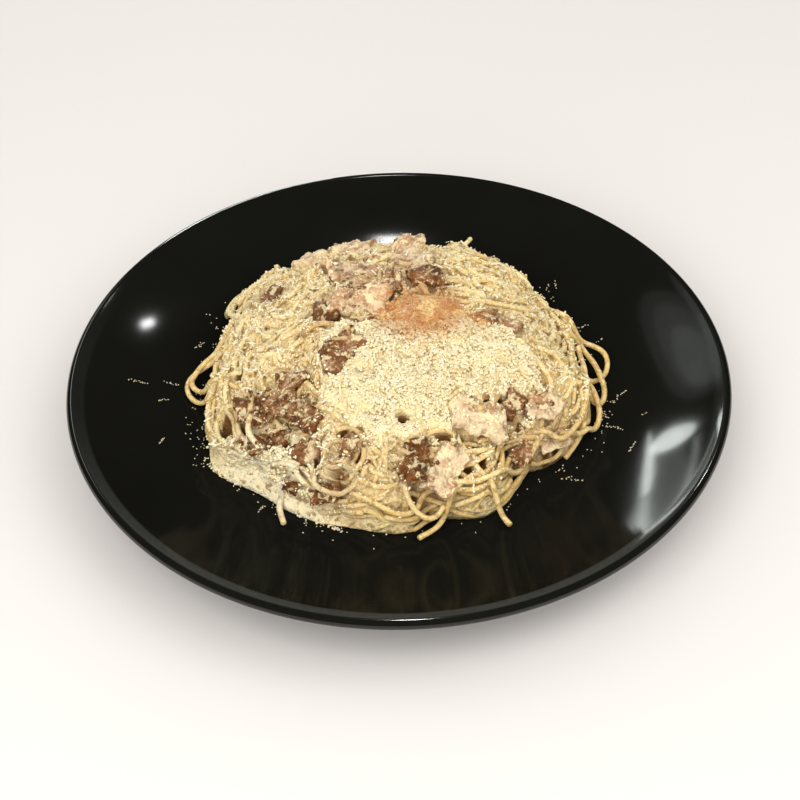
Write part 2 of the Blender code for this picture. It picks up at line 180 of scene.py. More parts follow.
# Strands that show over the others: (x, y) along each
SURFACE_STRANDS = (
    (
        (0.009, -0.060),
        (0.0257, -0.0600),
        (0.0353, -0.0555),
        (0.0440, -0.0448),
        (0.0515, -0.0385),
        (0.058, -0.030),
    ),
    ((-0.050, 0.034), (-0.062, 0.021), (-0.0672, 0.002), (-0.0665, -0.0215), (-0.0590, -0.0345)),
    ((-0.046, 0.040), (-0.0570, 0.0191), (-0.0560, 0.003), (-0.0507, -0.0089), (-0.047, -0.017)),
    (
        (0.0150, 0.0700),
        (0.0289, 0.0705),
        (0.0395, 0.0600),
        (0.0470, 0.0490),
        (0.0543, 0.0381),
        (0.060, 0.026),
    ),
    ((0.022, 0.0745), (0.0370, 0.0700), (0.0480, 0.0590), (0.0550, 0.0500), (0.0610, 0.0300)),
    ((0.058, 0.040), (0.0650, 0.0290), (0.0690, 0.0130), (0.0680, 0.0010)),
    ((0.0460, -0.0345), (0.0536, -0.0345), (0.0637, -0.0325), (0.0720, -0.0185), (0.0735, -0.0060)),
    ((-0.066, -0.028), (-0.0580, -0.0420), (-0.0480, -0.0520), (-0.0350, -0.0580), (-0.020, -0.062)),
    ((-0.064, -0.018), (-0.0600, -0.0310), (-0.0491, -0.0430), (-0.0374, -0.0515), (-0.029, -0.057)),
)
# Strands that cross over the bacon: (x, y) along each
CROSSING_STRANDS = (
    ((-0.058, -0.018), (-0.0560, -0.0230), (-0.0580, -0.0330), (-0.0530, -0.0420)),
    ((-0.036, 0.002), (-0.0290, 0.0040), (-0.0230, 0.0015), (-0.0190, -0.0045)),
)
# A coil of strands: (x, y, radius, turns, start in degrees, share of the radius kept at the end)
COILS = (
    (-0.0225, -0.0500, 0.0120, 1.35, 60.0, 0.86),
    (-0.0215, -0.0495, 0.0092, 1.55, 200.0, 0.70),
    (-0.0235, -0.0505, 0.0062, 1.10, 320.0, 0.80),
)
# Holes between the strands: (x, y, half width, half depth in y, how deep)
HOLES = (
    (0.0014, -0.0416, 0.0026, 0.0015, 0.0035),
    (0.0248, -0.0541, 0.0020, 0.0023, 0.0050),
    (0.0306, -0.0514, 0.0015, 0.0034, 0.0040),
    (0.0381, -0.0454, 0.0017, 0.0028, 0.0040),
    (0.0439, -0.0442, 0.0013, 0.0023, 0.0030),
    (0.0333, -0.0276, 0.0013, 0.0020, 0.0030),
    (0.0384, -0.0264, 0.0022, 0.0020, 0.0030),
    (0.0464, -0.0373, 0.0015, 0.0040, 0.0045),
    (0.0161, -0.0466, 0.0032, 0.0014, 0.0025),
    (0.0255, -0.0453, 0.0040, 0.0021, 0.0035),
    (0.0405, -0.0407, 0.0017, 0.0020, 0.0035),
    (0.0603, -0.0327, 0.0019, 0.0024, 0.0030),
    (0.0563, -0.0373, 0.0019, 0.0026, 0.0030),
    (0.0053, -0.0647, 0.0018, 0.0024, 0.0045),
    (0.0097, -0.0648, 0.0021, 0.0024, 0.0045),
    (-0.0208, -0.0431, 0.0015, 0.0020, 0.0030),
    (-0.0151, -0.0444, 0.0014, 0.0018, 0.0030),
    (-0.0160, -0.0530, 0.0021, 0.0026, 0.0040),
    (-0.0311, -0.0502, 0.0013, 0.0020, 0.0030),
    (-0.0538, -0.0451, 0.0014, 0.0018, 0.0025),
    (-0.0422, -0.0569, 0.0023, 0.0024, 0.0035),
    (-0.0268, -0.0582, 0.0058, 0.0030, 0.0040),
    (-0.0361, -0.0526, 0.0011, 0.0028, 0.0030),
    (-0.0595, -0.0298, 0.0024, 0.0026, 0.0035),
    (-0.0663, -0.0252, 0.0026, 0.0036, 0.0060),
    (-0.0470, -0.0400, 0.0016, 0.0019, 0.0030),
    (-0.0435, -0.0412, 0.0018, 0.0018, 0.0030),
    (-0.0265, 0.0063, 0.0021, 0.0026, 0.0030),
    (-0.0379, 0.0010, 0.0018, 0.0016, 0.0020),
    (-0.0570, 0.0050, 0.0013, 0.0016, 0.0020),
    (-0.0619, -0.0045, 0.0019, 0.0019, 0.0020),
    (0.0361, 0.0625, 0.0024, 0.0028, 0.0045),
)
# Shreds of cheese beside the heap: (x, y, length, heading in degrees)
PLATE_SHREDS = (
    (0.0758, 0.0424, 0.0060, 4.0),
    (0.0642, 0.0662, 0.0030, 80.0),
    (0.0676, 0.0670, 0.0036, 96.0),
    (0.0833, 0.0332, 0.0030, 30.0),
    (0.0892, 0.0012, 0.0042, 30.0),
    (0.0841, -0.0024, 0.0044, -10.0),
    (0.0868, -0.0010, 0.0030, 70.0),
    (0.0815, -0.0093, 0.0040, -60.0),
    (0.0835, -0.0170, 0.0090, -28.0),
    (0.0897, -0.0311, 0.0052, 60.0),
    (0.0966, -0.0133, 0.0016, 0.0),
    (0.0631, -0.0426, 0.0040, 10.0),
    (0.0675, -0.0446, 0.0046, -20.0),
    (-0.1040, 0.0076, 0.0064, 2.0),
    (-0.0914, 0.0107, 0.0052, -4.0),
    (-0.0942, 0.0007, 0.0040, 30.0),
    (-0.0927, -0.0226, 0.0042, 70.0),
    (-0.0818, 0.0350, 0.0042, 50.0),
    (-0.0769, -0.0128, 0.0042, -40.0),
    (-0.0526, -0.0555, 0.0044, 60.0),
    (-0.0358, -0.0624, 0.0036, 100.0),
    (-0.0070, 0.0985, 0.0040, 70.0),
    (0.0030, 0.1000, 0.0034, 110.0),
    (-0.0140, 0.0965, 0.0040, 20.0),
)

# How bacon_01 to bacon_27 look, in order: (browning, share of fat, pinkness), all from 0 to 1
BACON_LOOKS = (
    (0.05, 0.95, 0.30),
    (0.12, 0.35, 0.75),
    (0.10, 0.30, 0.85),
    (0.22, 0.20, 0.80),
    (0.35, 0.55, 0.50),
    (0.15, 0.30, 0.85),
    (0.75, 0.10, 0.50),
    (0.92, 0.00, 0.45),
    (0.80, 0.10, 0.20),
    (0.72, 0.10, 0.60),
    (0.50, 0.30, 0.60),
    (0.60, 0.20, 0.25),
    (0.60, 0.10, 0.35),
    (0.82, 0.10, 0.15),
    (0.80, 0.28, 0.30),
    (0.80, 0.10, 0.25),
    (0.68, 0.30, 0.35),
    (0.12, 0.45, 0.80),
    (0.68, 0.10, 0.60),
    (0.25, 0.40, 0.80),
    (0.60, 0.25, 0.60),
    (0.35, 0.40, 0.60),
    (0.78, 0.05, 0.65),
    (0.24, 0.30, 0.80),
    # bacon_25 is near-black brown as painted shade: it stands for a shaded hollow at the foot.
    (0.95, 0.00, 0.05),
    (0.60, 0.20, 0.40),
    # bacon_27 likewise: painted shade for a small shaded hollow at the foot.
    (0.90, 0.00, 0.00),
)

# Pieces of bacon that lie otherwise than their solids:
# (shift, growth in length and width, how far the near edge hangs down)
BACON_SLUMP = {
    "bacon_02": ((0.0, -0.0010, -0.0008), 1.20, (0.0, -0.0010, -0.0010)),
    "bacon_03": ((-0.0010, -0.0030, -0.0040), 1.22, (0.0, -0.0010, -0.0010)),
    "bacon_04": ((-0.0010, -0.0030, -0.0022), 1.16, (0.0, -0.0080, -0.0070)),
    "bacon_05": ((0.0, -0.0010, -0.0010), 1.15, (0.0, -0.0020, -0.0020)),
    "bacon_06": ((0.0, 0.0, -0.0006), 1.10, (0.0, -0.0010, -0.0016)),
    "bacon_18": ((0.0, 0.0, 0.0), 1.12, (0.0, -0.0030, -0.0015)),
    "bacon_13": ((0.0, 0.0, 0.0), 1.15, (0.0, -0.0030, -0.0020)),
    "bacon_10": ((0.0, 0.0, -0.0006), 1.10, (0.0, -0.0020, -0.0010)),
    "bacon_25": ((0.0, 0.0, -0.0018), 0.92, (0.0, 0.0, 0.0)),
    "bacon_27": ((0.0, 0.0, -0.0016), 0.80, (0.0, 0.0, 0.0)),
}
BACON_GROWTH = 1.10

PAINTED_LIP_REFLECTION = (0.034, 0.036, 0.032)  # linear colour of a pale band painted on the near part of the lip: a painted reflection

GRID_HALF = 0.118
VEER = 0.06  # radians for each step with which a strand seeks room
BUNDLED = 0.45  # how often a strand gets a neighbour that runs beside it
GRID_STEP = 0.0005
LINE_STEP = 0.001  # between the points of a strand as it is laid
TUBE_STEP = 0.0018  # between the rings of its mesh
BEND_BACK = 0.045  # share of its bend that a strand gives up at each step
LOOK_AHEAD = 0.006  # how far ahead a strand feels for the outline and for room
ROOM = 0.0012  # how far over its limit a strand may climb before it ends
DRAWN_FROM, DRAWN_TO = 0.945, 1.04  # shares of the outline between which the foot is drawn in
SCATTER_HALF = 0.092  # half the side of the square in which cheese falls
SURFACE_SUNK = 0.0007  # how far strands on top sink into those below
CREAM_SUNK = 0.0013  # how far strands sink where the sauce is thick
PLATE_GAP = 0.0005


# Groups of scraps: (x, y, spread, count, (browning, share of fat, pinkness))
SCRAPS = (
    (-0.052, -0.030, 0.012, 46, (0.85, 0.08, 0.20)),
    (-0.038, -0.027, 0.010, 20, (0.72, 0.20, 0.35)),
    (-0.040, -0.040, 0.008, 14, (0.75, 0.15, 0.35)),
    (-0.014, 0.046, 0.016, 30, (0.35, 0.35, 0.70)),
    (-0.022, 0.026, 0.012, 20, (0.60, 0.25, 0.55)),
    (0.014, 0.034, 0.009, 12, (0.65, 0.20, 0.60)),
    (-0.014, 0.004, 0.009, 18, (0.60, 0.15, 0.70)),
    (0.047, -0.029, 0.014, 18, (0.55, 0.20, 0.65)),
    (0.010, -0.057, 0.005, 12, (0.80, 0.10, 0.60)),
    (-0.0190, 0.0210, 0.0016, 5, (1.05, 0.00, 0.30)),
    (-0.0150, 0.0220, 0.0016, 5, (1.05, 0.00, 0.30)),
    (-0.018, -0.052, 0.007, 10, (0.70, 0.15, 0.35)),
)

Kind = namedtuple("Kind", "shortest longest width thickness")
SCRAP = Kind(0.0014, 0.0036, 0.0018, 0.0011)
CRUMB = Kind(0.0011, 0.0021, 0.0013, 0.0011)
FINES = Kind(0.0005, 0.0012, 0.0007, 0.0006)
SHRED = Kind(0.0022, 0.0045, 0.00075, 0.00045)
SHRED_BEND = 150.0  # radians for each metre


# Sizes and colours that a user would change -------------------------------


class CarbonaraSizes(bpy.types.PropertyGroup):
    """Sizes of the strands, the cheese and the bacon's surface."""

    strand_diameter: FloatProperty(
        name="Strand diameter",
        description="Thickness of one cooked strand",
        default=0.0022,
        min=0.001,
        unit="LENGTH",
    )
    core_depth: FloatProperty(
        name="Core depth",
        description="How far the core lies under the heap's surface",
        default=0.0030,
        unit="LENGTH",
    )
    ridge_count: IntProperty(
        name="Ridges", description="Short stretches of strands in the sauce", default=430
    )
    crumb_count: IntProperty(
        name="Cheese crumbs", description="Crumbs of grated cheese in the middle", default=5600
    )
    dust_count: IntProperty(
        name="Fine cheese", description="Fine grains of cheese all over the heap", default=12000
    )
    shred_count: IntProperty(
        name="Cheese shreds", description="Longer shreds of cheese on the heap", default=420
    )
    plate_grains: IntProperty(
        name="Plate grains", description="Fine grains of cheese beside the heap", default=520
    )
    bacon_voxel: FloatProperty(
        name="Bacon detail",
        description="Edge of one face of the bacon's skin",
        default=0.0006,
        unit="LENGTH",
    )


class CarbonaraColours(bpy.types.PropertyGroup):
    """Base colours, as linear red, green and blue."""

    glaze: FloatVectorProperty(
        name="Glaze",
        description="Black glaze of the plate",
        subtype="COLOR",
        default=(0.0042, 0.0042, 0.0032),
    )
    pasta: FloatVectorProperty(
        name="Pasta", description="Egg-coated spaghetti", subtype="COLOR", default=(0.69, 0.485, 0.195)
    )
    cheese: FloatVectorProperty(
        name="Cheese", description="Grated hard cheese", subtype="COLOR", default=(0.91, 0.77, 0.45)
    )
    yolk: FloatVectorProperty(
        name="Yolk", description="Raw egg yolk", subtype="COLOR", default=(0.53, 0.190, 0.042)
    )
    meat: FloatVectorProperty(
        name="Meat", description="Lean of the bacon", subtype="COLOR", default=(0.47, 0.260, 0.135)
    )
    fat: FloatVectorProperty(
        name="Fat", description="Fat of the bacon", subtype="COLOR", default=(0.62, 0.455, 0.275)
    )
    browned: FloatVectorProperty(
        name="Browned",
        description="Fried edges of the bacon",
        subtype="COLOR",
        default=(0.138, 0.041, 0.004),
    )
    dripping: FloatVectorProperty(
        name="Dripping",
        description="Pasta and sauce that bacon fat has coloured",
        subtype="COLOR",
        default=(0.34, 0.20, 0.090),
    )
    floor: FloatVectorProperty(
        name="Floor", description="Studio floor", subtype="COLOR", default=(0.640, 0.610, 0.580)
    )


def sizes():
    return bpy.context.scene.carbonara_sizes


def colours():
    return bpy.context.scene.carbonara_colours


# Shader maths --------------------------------------------------------------


class Value:
    """A node's output, with which shader maths is written as ordinary expressions."""

    def __init__(self, finish, socket):
        self.finish, self.socket = finish, socket

    def math(self, operation, *values):
        return self.finish.node("ShaderNodeMath", {"operation": operation}, dict(enumerate(values)))

    def __add__(self, other):
        return self.math("ADD", self, other)

    def __radd__(self, other):
        return self.math("ADD", other, self)

    def __sub__(self, other):
        return self.math("SUBTRACT", self, other)

    def __rsub__(self, other):
        return self.math("SUBTRACT", other, self)

    def __mul__(self, other):
        return self.math("MULTIPLY", self, other)

    def __rmul__(self, other):
        return self.math("MULTIPLY", other, self)

    def __truediv__(self, other):
        return self.math("DIVIDE", self, other)

    def __pow__(self, other):
        return self.math("POWER", self, other)

    def rise(self, low, high):
        """0 below low, 1 above high, and smooth between them."""
        settings = {"interpolation_type": "SMOOTHSTEP"}
        values = {"Value": self, "From Min": low, "From Max": high}
        return self.finish.node("ShaderNodeMapRange", settings, values)


class Finish:
    """A material whose nodes come from expressions; constants go straight to the shader's sockets."""

    def __init__(self, name, **constants):
        self.material = bpy.data.materials.new(name)
        self.material.use_nodes = True
        self.tree = self.material.node_tree
        self.shader = self.tree.nodes["Principled BSDF"]
        for socket, value in constants.items():
            self.feed(self.shader.inputs[socket.replace("_", " ").title().replace("Ior", "IOR")], value)

    def feed(self, socket, value):
        if isinstance(value, Value):
            self.tree.links.new(value.socket, socket)
        elif (
            hasattr(value, "__len__")
            and len(value) == 3
            and len(getattr(socket, "default_value", ())) == 4
        ):
            socket.default_value = (*value, 1.0)
        else:
            socket.default_value = value

    def node(self, kind, settings=None, inputs=None, output=0):
        made = self.tree.nodes.new(kind)
        for key, value in (settings or {}).items():
            setattr(made, key, value)
        for key, value in (inputs or {}).items():
            self.feed(made.inputs[key], value)
        return Value(self, made.outputs[output])

    def place(self):
        return self.node("ShaderNodeTexCoord", output="Object")

    def attribute(self, name, output="Fac"):
        return self.node("ShaderNodeAttribute", {"attribute_name": name}, output=output)

    def stretched(self, vector, scale):
        return self.node("ShaderNodeVectorMath", {"operation": "MULTIPLY"}, {0: vector, 1: scale})

    def noise(self, vector, scale, detail=3.0, roughness=0.5, distortion=0.0):
        values = {
            "Vector": vector,
            "Scale": scale,
            "Detail": detail,
            "Roughness": roughness,
            "Distortion": distortion,
        }
        return self.node("ShaderNodeTexNoise", inputs=values)

    def cells(self, vector, scale):
        values = {"Vector": vector, "Scale": scale}
        return self.node("ShaderNodeTexVoronoi", {"feature": "F1"}, values, "Distance")

    def grain(self, place):
        """The grain of cheese and curdled sauce that all the food shares."""
        return self.noise(place, 760.0, 2.0, 0.6)

    def axis(self, vector, letter):
        return self.node("ShaderNodeSeparateXYZ", inputs={"Vector": vector}, output=letter)

    def distance(self, vector, point):
        settings = {"operation": "DISTANCE"}
        return self.node("ShaderNodeVectorMath", settings, {0: vector, 1: point}, "Value")

    def mix(self, first, second, share):
        return self.node("ShaderNodeMix", {"data_type": "RGBA"}, {0: share, 6: first, 7: second}, 2)

    def bump(self, height, distance):
        values = {"Height": height, "Distance": distance, "Strength": 1.0}
        return self.node("ShaderNodeBump", inputs=values)

    def set(self, **sockets):
        for socket, value in sockets.items():
            self.feed(self.shader.inputs[socket.replace("_", " ").title()], value)
        return self.material


def darker(colour, share):
    return tuple(channel * share for channel in colour)


def tinted(colour, *shares):
    """A colour with a share of its own for red, green and blue, none of them over full."""
    return tuple(min(1.0, channel * share) for channel, share in zip(colour, shares))


def yolk_stain(finish, place):
    """Where yolk has run over its neighbours: 1 at the yolk, fading out over a centimetre."""
    low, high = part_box("egg_yolk")
    middle = ((low.x + high.x) / 2 - 0.002, (low.y + high.y) / 2 + 0.004, high.z - 0.003)
    ragged = finish.noise(place, 160.0, 2.0) * 0.012
    return 1.0 - (finish.distance(place, middle) + ragged).rise(0.017, 0.030)


def curdled(look, place, colour, share):
    """Colour with the grains of cheese and curdled sauce that cover everything, and painted shade:
    darker in the hollows of the grain and in patches that stand for shaded gaps.
    """
    grain = look.grain(place)
    clot = look.noise(place, 210.0, 3.0, 0.6)
    pasta, cheese = colours().pasta, colours().cheese
    white = tinted(cheese, 0.99, 1.07, 1.35)
    colour = look.mix(colour, white, look.attribute("cream") * (0.62 + clot * 0.4))
    pale = (grain * 0.8 + clot * 0.5 - 0.15).rise(0.42, 0.66)
    colour = look.mix(colour, darker(cheese, 0.97), pale * share)
    # Painted shade: olive-brown where the grain is low, in the hollows between grains.
    dark = tinted(pasta, 0.62, 0.54, 0.42)
    colour = look.mix(colour, dark, (1.0 - grain).rise(0.54, 0.76) * (share * 0.75))
    # Painted shade: patches of deep brown that stand for shaded gaps between grains and strands.
    gaps = look.noise(place, 330.0, 2.0, 0.65)
    deep = tinted(pasta, 0.36, 0.29, 0.18)
    return look.mix(colour, deep, gaps.rise(0.52, 0.66) * (share * 0.95))


def glaze_finish():
    look = Finish("black_glaze", ior=1.50, specular_ior_level=0.0, coat_roughness=0.08)
    place = look.place()
    cloud = look.noise(place, 30.0, 4.0, 0.6)
    mottle = look.noise(place, 420.0, 3.0, 0.7)
    orange_peel = look.noise(place, 260.0, 2.0)
    radius = look.distance(look.stretched(place, (1.0, 1.0, 0.0)), (0.0, 0.0, 0.0))
    lip = radius.rise(rim_start(), PLATE_RADIUS - 0.0010)
    colour = look.mix(colours().glaze, darker(colours().glaze, 1.6), cloud)
    # A pale band painted on the lip, strongest at the front and gone at the back: a painted reflection
    # of a light.
    painted_lip_band = radius.rise(0.1225, 0.1240) * (1.0 - radius.rise(0.1272, 0.1280))
    near = 1.0 - look.axis(place, "Y").rise(-0.112, -0.010) * 0.85
    near = near * (1.0 - look.axis(place, "Y").rise(0.0, 0.060))
    colour = look.mix(colour, PAINTED_LIP_REFLECTION, painted_lip_band * near * (0.55 + mottle * 0.8))
    return look.set(
        base_color=colour,
        roughness=0.30 + cloud * 0.2,
        coat_weight=(0.07 + cloud * 0.06 + mottle * 0.03) + lip * 0.75,
        normal=look.bump(orange_peel, 0.00002),
    )


def pasta_finish():
    look = Finish(
        "egg_pasta",
        subsurface_weight=0.34,
        subsurface_radius=(0.0032, 0.0021, 0.0010),
        subsurface_scale=1.0,
        coat_weight=0.12,
        coat_roughness=0.30,
        ior=1.45,
    )
    place = look.place()
    tone = look.attribute("tone")
    cloud = look.noise(place, 70.0, 3.0, 0.6)
    fleck = look.noise(place, 1100.0, 3.0, 0.6)
    sauce = look.noise(place, 240.0, 3.0, 0.55)
    base = colours().pasta
    pale = tinted(base, 1.12, 1.20, 1.42)
    deep = tinted(base, 0.86, 0.80, 0.62)
    colour = look.mix(deep, pale, (tone * 0.62 + cloud * 0.75 - 0.16).rise(0.0, 1.0))
    height = look.axis(place, "Z")
    low = 1.0 - height.rise(0.010, 0.034)
    colour = look.mix(colour, tinted(base, 1.02, 0.98, 0.78), low * 0.6)
    # Grain colour and painted shade, more of both higher on the heap.
    colour = curdled(look, place, colour, 0.50 + height.rise(0.012, 0.032) * 0.25)
    colour = look.mix(colour, colours().dripping, look.attribute("dripping") * (0.35 + cloud * 0.6))
    colour = look.mix(colour, colours().yolk, yolk_stain(look, place) * 0.6)
    grain = fleck * 0.00018 + sauce * 0.00045 + look.grain(place) * 0.00065
    return look.set(
        base_color=colour,
        roughness=0.36 + sauce * 0.28,
        normal=look.bump(grain, 1.0),
    )


def core_finish():
    look = Finish(
        "creamy_sauce",
        subsurface_weight=0.30,
        subsurface_radius=(0.0030, 0.0020, 0.0010),
        subsurface_scale=1.0,
        coat_weight=0.15,
        coat_roughness=0.3,
        ior=1.42,
    )
    place = look.place()
    hole = look.attribute("hole")
    cloud = look.noise(place, 110.0, 3.0, 0.6)
    grain = look.noise(place, 620.0, 3.0, 0.6)
    curd = look.cells(place, 850.0)
    base = colours().pasta
    cheesy = (cloud * 0.9 + grain * 0.5 - 0.35).rise(0.0, 0.8)
    colour = look.mix(darker(base, 0.88), colours().cheese, cheesy * 0.5)
    # Grain colour and painted shade, heavier than on the pasta.
    colour = curdled(look, place, colour, 0.85)
    colour = look.mix(colour, colours().dripping, look.attribute("dripping") * (0.40 + cloud * 0.8))
    colour = look.mix(colour, colours().yolk, yolk_stain(look, place) * 0.6)
    # Painted shade: the sauce is painted near-black brown in the holes between the strands.
    colour = look.mix(colour, tinted(base, 0.16, 0.085, 0.03), hole)
    return look.set(
        base_color=colour,
        roughness=0.45 + grain * 0.25,
        normal=look.bump(look.grain(place) + grain * 0.3 - curd * 0.3, 0.0009),
    )


def cheese_finish():
    look = Finish(
        "grated_cheese",
        subsurface_weight=0.40,
        subsurface_radius=(0.0026, 0.0021, 0.0013),
        subsurface_scale=1.0,
        ior=1.40,
    )
    place = look.place()
    tone = look.attribute("tone")
    cloud = look.noise(place, 90.0, 3.0)
    crumb = look.noise(place, 1500.0, 4.0, 0.65)
    base = colours().cheese
    pale = tinted(base, 1.05, 1.10, 1.25)
    deep = tinted(base, 0.92, 0.84, 0.70)
    colour = look.mix(deep, pale, (tone * 0.8 + cloud * 0.5 - 0.15).rise(0.0, 1.0))
    colour = look.mix(colour, colours().yolk, yolk_stain(look, place) * 0.80)
    return look.set(
        base_color=colour,
        roughness=0.62 + crumb * 0.25,
        normal=look.bump(crumb, 0.00035),
    )


def yolk_finish():
    look = Finish(
        "egg_yolk",
        subsurface_weight=0.25,
        subsurface_radius=(0.004, 0.0016, 0.0006),
        subsurface_scale=1.0,
        coat_weight=0.10,
        coat_roughness=0.22,
        ior=1.40,
    )
    place = look.place()
    cloud = look.noise(place, 130.0, 3.0, 0.6)
    film = look.noise(place, 520.0, 3.0, 0.6)
    base = colours().yolk
    pale = tinted(base, 1.08, 1.50, 2.1)
    colour = look.mix(base, pale, cloud.rise(0.36, 0.72))
    colour = look.mix(colour, tinted(base, 0.62, 0.52, 0.4), film.rise(0.56, 0.78) * 0.6)
    curds = look.noise(place, 700.0, 2.0, 0.6).rise(0.50, 0.66)
    colour = look.mix(colour, tinted(base, 1.60, 2.6, 4.6), curds * 0.62)
    smeared = look.noise(place, 135.0, 4.0, 0.7, 0.5)
    colour = look.mix(colour, tinted(base, 1.62, 3.1, 5.8), smeared.rise(0.49, 0.57) * 0.72)
    colour = look.mix(colour, tinted(base, 0.80, 0.60, 0.5), (1.0 - smeared).rise(0.54, 0.66) * 0.60)
    return look.set(
        base_color=colour,
        roughness=0.40 + film * 0.2,
        normal=look.bump(film + cloud + curds * 0.5, 0.0014),
    )


def bacon_finish():
    look = Finish(
        "fried_bacon",
        subsurface_weight=0.12,
        subsurface_radius=(0.0035, 0.0014, 0.0008),
        subsurface_scale=1.0,
        coat_weight=0.04,
        coat_roughness=0.30,
        ior=1.28,
    )
    place = look.place()
    cut = look.attribute("cut", "Vector")
    brown, fat, pink = (look.attribute(name) for name in ("browning", "fattiness", "pinkness"))
    fibre = look.noise(look.stretched(cut, (180.0, 700.0, 500.0)), 1.0, 3.0, 0.6)
    cloud = look.noise(place, 260.0, 3.0, 0.6)
    speck = look.noise(place, 1300.0, 3.0, 0.6)
    marbling = look.noise(look.stretched(cut, (70.0, 260.0, 200.0)), 1.0, 2.0, 0.5, 0.8)
    meat = colours().meat
    blush = (pink * 0.75 + cloud * 0.9 - 0.42).rise(0.0, 0.85)
    lean = look.mix(tinted(meat, 0.50, 0.42, 0.28), meat, blush)
    lean = look.mix(lean, darker(meat, 0.55), fibre.rise(0.50, 0.78) * 0.45)
    white = (marbling + fat * 0.9 - 0.45).rise(0.30, 0.52)
    colour = look.mix(lean, colours().fat, white)
    fried = (brown + cloud * 1.1 - 0.55).rise(0.22, 0.80)
    colour = look.mix(colour, colours().browned, fried * 0.93)
    dark = (brown + speck * 0.6 - 0.3).rise(0.80, 1.10)
    colour = look.mix(colour, darker(colours().browned, 0.35), dark * 0.7)
    grain = look.grain(place)
    creamy = (grain * 0.7 + cloud * 0.5 - brown * 0.10).rise(0.50, 0.74)
    colour = look.mix(colour, darker(colours().cheese, 0.90), creamy * 0.50)
    # Painted shade: browner where the grain is low, in the hollows between grains.
    colour = look.mix(colour, darker(colours().browned, 1.6), (1.0 - grain).rise(0.54, 0.78) * 0.35)
    # Painted shade in dark seams laid at random, heavier on the browner pieces.
    seam = look.noise(place, 300.0, 2.0, 0.6)
    painted_seam_shade = seam.rise(0.54, 0.66) * (0.35 + brown * 0.50)
    colour = look.mix(colour, darker(colours().browned, 0.45), painted_seam_shade)
    smeared = look.noise(place, 230.0, 3.0, 0.7, 0.4)
    coated = smeared.rise(0.53, 0.61) * (0.85 - brown * 0.25)
    colour = look.mix(colour, darker(colours().cheese, 0.84), coated)
    colour = look.mix(colour, colours().yolk, yolk_stain(look, place) * 0.35)
    return look.set(
        base_color=colour,
        roughness=0.42 + cloud * 0.25,
        normal=look.bump(fibre * 0.5 + speck * 0.3 + grain * 0.9, 0.0007),
    )


def floor_finish():
    look = Finish("studio_floor", roughness=0.85)
    grain = look.noise(look.place(), 4.0, 3.0)
    return look.set(base_color=look.mix(colours().floor, darker(colours().floor, 0.985), grain))


# Heights of what lies on the plate -----------------------------------------


def plate_height(radius):
    """Height of the plate's upper surface at a distance from its axis."""
    share = np.maximum(0.0, (radius - FLOOR_RADIUS) / (rim_start() - FLOOR_RADIUS))
    return FLOOR_Z + RIM_RISE * share**RIM_POWER


def rim_slope():
    """Angle at which the plate's upper surface reaches the lip."""
    return math.atan2(RIM_RISE * RIM_POWER, PLATE_RADIUS - FLOOR_RADIUS)


def rim_start():
    """Distance from the axis at which the rounded lip begins."""
    return PLATE_RADIUS - WALL / 2 * (1 + math.sin(rim_slope()))


def heap_reach(angle):
    """Distance from the heap's centre to its outline."""
    total = np.ones_like(angle)
    for count, share, crest in OUTLINE_WAVES:
        total += share * np.cos(count * (angle - math.radians(crest)))
    for direction, half_width, share in OUTLINE_BAYS + STRAND_BAYS:
        off = (angle - math.radians(direction) + math.pi) % math.tau - math.pi
        total -= share * np.exp(-((off / math.radians(half_width)) ** 2))
    return HEAP_RADIUS * total


def tree_of(obj):
    """A search tree of an object's faces, for casting rays at it."""
    places = [v.co for v in obj.data.vertices]
    return BVHTree.FromPolygons(places, [tuple(p.vertices) for p in obj.data.polygons])


class HeightField:
    """Heights, seen from above, of what has been laid on the plate so far."""

    def __init__(self):
        axis = np.arange(-GRID_HALF, GRID_HALF + GRID_STEP / 2, GRID_STEP)
        self.count = len(axis)
        self.x, self.y = np.meshgrid(axis, axis, indexing="ij")
        self.plate = plate_height(np.hypot(self.x, self.y))
        self.z = self.plate.copy()
        self.target = self.plate.copy()
        self.keep_clear = np.zeros_like(self.plate)
        self.bacon_top = np.full_like(self.plate, -1.0)
        self.bacon_under = np.full_like(self.plate, 1.0)
        self.dripping = np.zeros_like(self.plate)
        self.bared = np.zeros_like(self.plate)
        self.cream = np.zeros_like(self.plate)

    def cells(self, points):
        nearest = np.rint((points[..., :2] + GRID_HALF) / GRID_STEP).astype(int)
        return np.clip(nearest, 0, self.count - 1)

    def at(self, points, field=None):
        cell = self.cells(points)
        return (self.z if field is None else field)[cell[..., 0], cell[..., 1]]

    def cast(self, obj, miss, below=False):
        """The top of an object on the grid, or its underside, and miss beside it."""
        tree = tree_of(obj)
        places = np.array([v.co for v in obj.data.vertices])
        first, last = self.cells(places.min(0)), self.cells(places.max(0))
        found = np.full_like(self.z, miss)
        start, way = (-0.1, Vector((0, 0, 1))) if below else (0.2, Vector((0, 0, -1)))
        for i in range(first[0], last[0] + 1):
            for j in range(first[1], last[1] + 1):
                hit = tree.ray_cast(Vector((self.x[i, j], self.y[i, j], start)), way)[0]
                if hit:
                    found[i, j] = hit.z
        return found

    def between(self, points, field):
        """A field's values at points, blended from the four nearest grid points."""
        place = np.clip((points[..., :2] + GRID_HALF) / GRID_STEP, 0, self.count - 1.001)
        i, j = place.astype(int)[..., 0], place.astype(int)[..., 1]
        u, v = (place - place.astype(int))[..., 0], (place - place.astype(int))[..., 1]
        low = field[i, j] * (1 - v) + field[i, j + 1] * v
        high = field[i + 1, j] * (1 - v) + field[i + 1, j + 1] * v
        return low * (1 - u) + high * u

    def raise_to(self, heights):
        self.z = np.maximum(self.z, heights)


